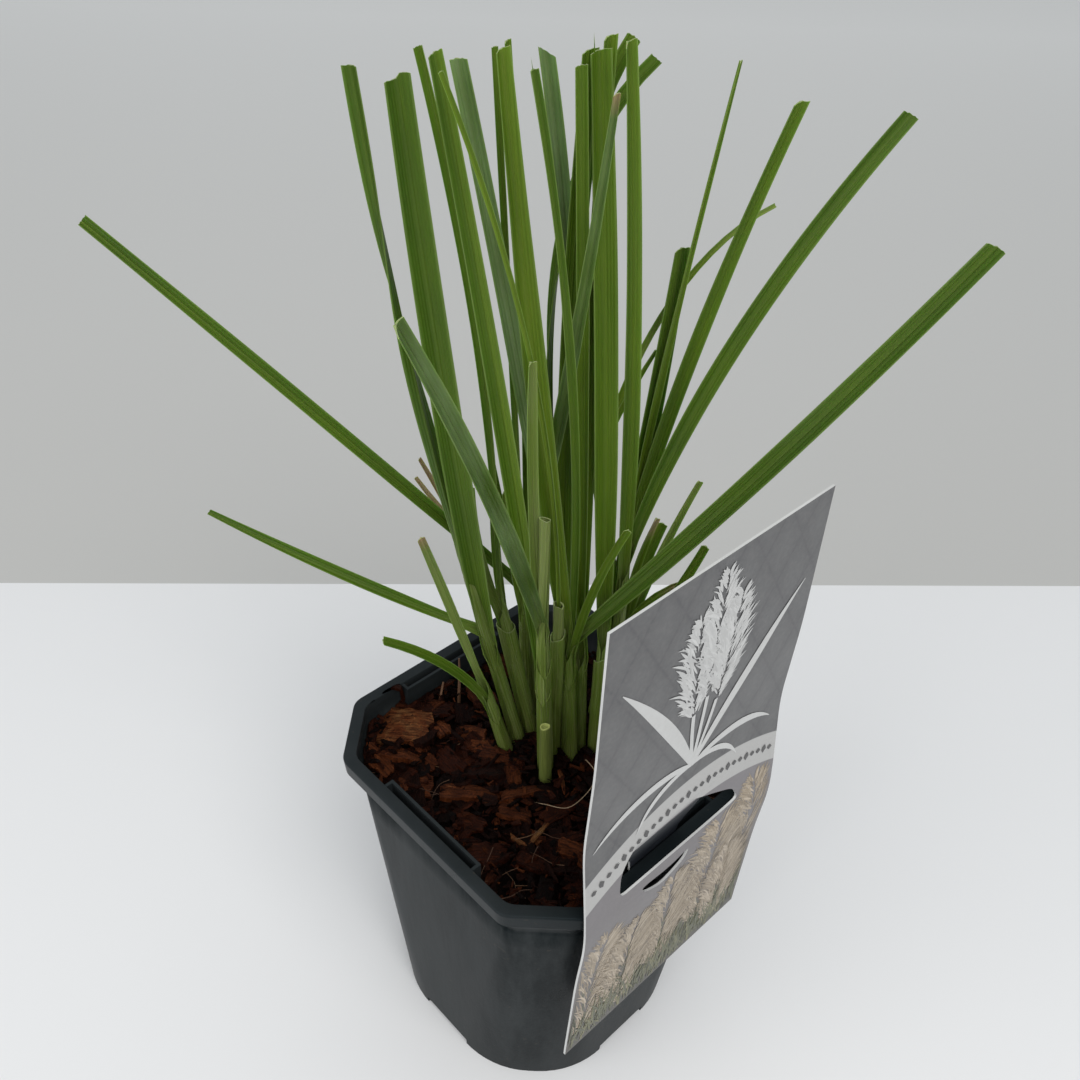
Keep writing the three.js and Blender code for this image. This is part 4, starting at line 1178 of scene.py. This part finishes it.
def build_print(material):
    art = Print(8)
    # tall grass behind, seed heads, and short grass in front
    art.blades(TALL_GRASSES, (40.3, 14), 14, (9, 26), 20, (0.35, 0.9), (2, 3))
    for start, angle, length, bend, breadth in [
            ((-29, 46), -2, 44, 12, 12.0), ((28, 58), 5, 46, -14, 13.0), ((14, 52), 3, 50, -8, 13.0),
            ((-2, 48), 4, 42, -10, 12.0), ((-15, 44), -6, 40, 16, 11.0), ((22, 44), 8, 36, -16, 11.0)]:
        foot = (start[0] - 0.1 * length * math.sin(math.radians(angle)), 40.4)
        art.curve(foot, angle, start[1] - 39, 0, 0.8, GRASS, 0.8, pointed=False)
        art.plume(start, angle, length, bend, breadth, BEIGE_HAIRS, BEIGE, 0.85)
    art.blades(SHORT_GRASSES, (40.2, 5), 16, (4, 17), 26, (0.25, 0.6), (2, 2))
    # a white tuft with three seed heads on the grey field
    foot = (0.0, 127.0)
    for angle, length, bend, width in [
            (-66, 34, 62, 2.6), (-46, 44, 34, 3.4), (-27, 52, 14, 3.6), (30, 50, -16, 3.4),
            (48, 42, -36, 3.2), (67, 32, -64, 2.6), (-80, 22, 74, 1.8), (80, 21, -74, 1.8)]:
        art.curve(foot, angle, length, -bend, width, WHITE, 0.8, steps=16)
    for angle, length, bend in [(-15, 40, 8), (0, 46, 0), (15, 40, -8)]:
        stalk = art.curve(foot, angle, length * 0.5, bend, 1.2, WHITE, 0.8, steps=8, pointed=False)
        art.plume(stalk[-1], angle + bend, length * 0.78, bend * 0.5, 6.4, WHITE_HAIRS, WHITE, 1.2)
    # a row of lozenges along the pale band, every third a large one
    for k in range(-13, 14):
        x = 2.45 * k
        z = 117.1 - 0.0069 * x * x
        path = [(x - 0.8, z - 0.011 * x * -0.8), (x, z), (x + 0.8, z - 0.011 * x * 0.8)]
        art.stroke(path, 1.6 if k % 3 else 2.6, DARK, 0.5)
    art.soup.piece("label_artwork", material, "label")


# ---- small things ---------------------------------------------------------------------------------

def add_fibre(soup, path, radius, tint):
    """A root or bark fibre: a thin tube along a smooth path."""
    path = np.asarray(path, float)
    fine = []
    for i in range(len(path) - 1):
        p0, p1, p2, p3 = path[max(i - 1, 0)], path[i], path[i + 1], path[min(i + 2, len(path) - 1)]
        for t in np.linspace(0, 1, 7)[:-1]:
            fine.append(0.5 * (2 * p1 + (p2 - p0) * t + (2 * p0 - 5 * p1 + 4 * p2 - p3) * t ** 2
                               + (3 * p1 - p0 - 3 * p2 + p3) * t ** 3))
    fine.append(path[-1])
    fine = np.array(fine)
    run = directions(fine)
    side = np.cross(run, (0.13, 0.21, 1.0))
    side /= np.linalg.norm(side, axis=1)[:, None] + 1e-9
    other = np.cross(run, side)
    sides, points = 6, []
    n = len(fine)
    for i, p in enumerate(fine):
        r = radius * (1 - 0.55 * i / n)
        for a in ring_angles(sides):
            points.append(p + (side[i] * math.cos(a) + other[i] * math.sin(a)) * r)
    faces = [f[::-1] for f in grid_faces(n, sides, closed=True)]
    faces += [list(range(sides)), list(range((n - 1) * sides, n * sides))[::-1]]
    soup.add(points, faces, chip_grain=np.linspace(0, 12, len(points)), chip_tint=tint)


def build_fibres(material):
    soup = Soup()
    # a curled root, and two bark splinters that stand up by the rim
    add_fibre(soup, [(7.6, -6.2, 90.2), (6.5, -8.0, 93.0), (4.6, -13.2, 93.4), (-1.0, -15.6, 93.2),
                     (-7.9, -15.4, 92.6), (-11.0, -10.2, 91.6), (-11.6, -7.0, 90.0)], 0.17, 0.9)
    add_fibre(soup, [(-3.4, 33.4, 89.5), (-2.4, 34.3, 94.5), (-1.2, 35.6, 99.5), (-0.6, 36.4, 103.0)],
              0.55, 0.35)
    add_fibre(soup, [(-9.8, 35.0, 89.5), (-8.4, 35.4, 93.5), (-6.6, 36.2, 97.8)], 0.5, 0.5)
    rng = np.random.default_rng(5)
    for _ in range(LOOSE_FIBRES):
        x, y = rng.uniform(-38, 38, 2)
        turn, length = rng.uniform(0, 6.28), rng.uniform(4, 11)
        path = [np.array([x, y, BARK_TOP + rng.uniform(1.2, 3.0)])]
        for _ in range(3):
            turn += rng.uniform(-0.6, 0.6)
            step = math.cos(turn) * length / 3, math.sin(turn) * length / 3, rng.uniform(-0.9, 0.7)
            path.append(path[-1] + step)
        path = keep_inside(path)
        if not (near_stem(*path[0][:2], 3.0) or near_stem(*path[-1][:2], 3.0)):
            add_fibre(soup, path, rng.uniform(0.06, 0.14), rng.uniform(0.1, 0.7))
    soup.piece("loose_fibres", material, "bark", sharp_angle=50)


def build_crumbs(material):
    """Bark that has spilled onto the rim."""
    soup, rng = Soup(), np.random.default_rng(12)
    chip_solid(soup, rng, 8.5, 3.2, 1.1, 0.5, rotation(0.1, -0.1, 2.3), (-20.5, 43.3, 100.75), 0.5)
    for x, y, size in [(-18.8, 42.9, 1.1), (-27.0, 43.5, 0.9), (12.0, 43.0, 0.8), (-43.6, 8.0, 0.8),
                       (-43.4, -12.0, 0.6), (-43.6, 21.0, 0.7), (43.4, 6.0, 0.8), (30.0, 43.2, 1.0)]:
        turn = rotation(0, 0, rng.uniform(0, 6))
        chip_solid(soup, rng, size * 1.5, size, size * 0.6, 0.8, turn, (x, y, 100.3), 0.4)
    soup.piece("spilled_bark", material, "bark", sharp_angle=35)


# ---- stage ----------------------------------------------------------------------------------------

def plain_surface(name, colour, points, edge, away, far):
    """A floor in one colour, or in one that grows to another within a metre beyond an edge: that paler colour
    is painted light, making up for the lamps' falloff with distance.
    """
    s = Shade(name, 0.75)
    tone = s.ramp(s.noise(3.0, 3.0, 0.5), [(0.3, tuple(c * 0.985 for c in colour)), (0.7, colour)])
    if far is not None:
        x, y, _ = s.place_parts()
        tone = s.mix(s.step(x * away[0] + y * away[1], edge, edge + 1.0), tone, far)
    s.set("Base Color", tone)
    s.set("Specular IOR Level", 0.2)
    stage = make_object(name, points, [(0, 1, 2, 3)])
    stage.data.materials.append(s.material)


# the camera that was solved from the pot's corners in the photo, which is 1080 pixels wide
CAMERA = np.array([-142.7, -133.7, 322.0])
FORWARD, RIGHT, UP = (0.5570, 0.5507, -0.6217), (0.7242, -0.6885, 0.0389), (0.4066, 0.4719, 0.7823)
SENSOR, FOCAL_PIXELS, PHOTO_PIXELS = 36.0, 1100.0, 1080


def build_floors():
    """The pale floor ends in a straight line behind the plant, and a greyer floor goes on from there, painted
    paler further off as painted light against the lamps' falloff.
    """
    a, b, reach = np.array([-53.7, 283.7]), np.array([311.1, -35.9]), 4000
    run = unit(b - a)
    away = np.array([-run[1], run[0]])
    edge = float(away @ (a * MM + ORIGIN[:2]))
    # the far floor's second colour is painted light: it grows paler away from the lamps
    for name, colour, far, side in (("floor", (0.775, 0.775, 0.78), None, -1),
                                    ("far_floor", (0.515, 0.510, 0.494), (0.80, 0.795, 0.78), 1)):
        corners = [a - run * reach, b + run * reach]
        corners += [corners[1] + away * side * reach, corners[0] + away * side * reach]
        places = [(*(p * MM + ORIGIN[:2]), 0.0) for p in corners]
        plain_surface(name, colour, places[::side], edge, away, far)


def add_lamp(name, place, size, energy):
    light = bpy.data.lights.new(name, "AREA")
    light.shape, light.size, light.energy, light.color = "DISK", size, energy, (1.0, 0.99, 0.97)
    lamp = bpy.data.objects.new(name, light)
    bpy.context.scene.collection.objects.link(lamp)
    lamp.location = Vector(np.array(place) * MM + ORIGIN)
    aim = Vector(ORIGIN + (0, 0, 0.12)) - lamp.location
    lamp.rotation_euler = aim.to_track_quat("-Z", "Y").to_euler()


def build_stage():
    build_floors()
    scene = bpy.context.scene
    camera = bpy.data.objects.new("camera", bpy.data.cameras.new("camera"))
    scene.collection.objects.link(camera)
    camera.data.sensor_width = SENSOR
    camera.data.lens = FOCAL_PIXELS / PHOTO_PIXELS * SENSOR
    camera.data.clip_start = 0.01
    turn = Matrix((RIGHT, UP, tuple(-np.array(FORWARD)))).transposed()
    camera.matrix_world = Matrix.Translation(Vector(CAMERA * MM + ORIGIN)) @ turn.to_4x4()
    scene.camera = camera

    scene.view_settings.view_transform = "Standard"
    scene.world = bpy.data.worlds.new("studio")
    scene.world.use_nodes = True
    background = scene.world.node_tree.nodes["Background"]
    background.inputs["Color"].default_value = (0.93, 0.97, 1.0, 1.0)
    background.inputs["Strength"].default_value = 0.60
    add_lamp("key", (-250, -700, 1050), 0.75, 7.6)
    add_lamp("fill", (-900, 100, 700), 0.9, 3.6)


build_stage()
bark = bark_material()
build_pot(pot_material())
build_stems(leaf_material())
build_culm(culm_material())
build_bark(bark)
build_crumbs(bark)
build_fibres(fibre_material())
white_card = cloudy_material("label_white", 0.4, (60.0, 4.0, 0.5), (0.52, 0.52, 0.51), (0.61, 0.61, 0.60),
                             (0.0004, 0.2))
# the tongue's front: near black, painted shade in place of its print
tongue_painted_shade = cloudy_material("label_tongue_painted_shade", 0.4, (120.0, 4.0, 0.5), (0.010, 0.012, 0.016),
                              (0.022, 0.025, 0.032), (0.0003, 0.2))
build_label(label_material(), white_card, tongue_painted_shade)
build_print(ink_material())
soil = cloudy_material("peat_soil", 0.9, (420.0, 8.0, 0.7), (0.010, 0.005, 0.004), (0.055, 0.026, 0.014),
                       (0.002, 1.0))
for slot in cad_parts["potting_soil"].material_slots:
    slot.material = soil
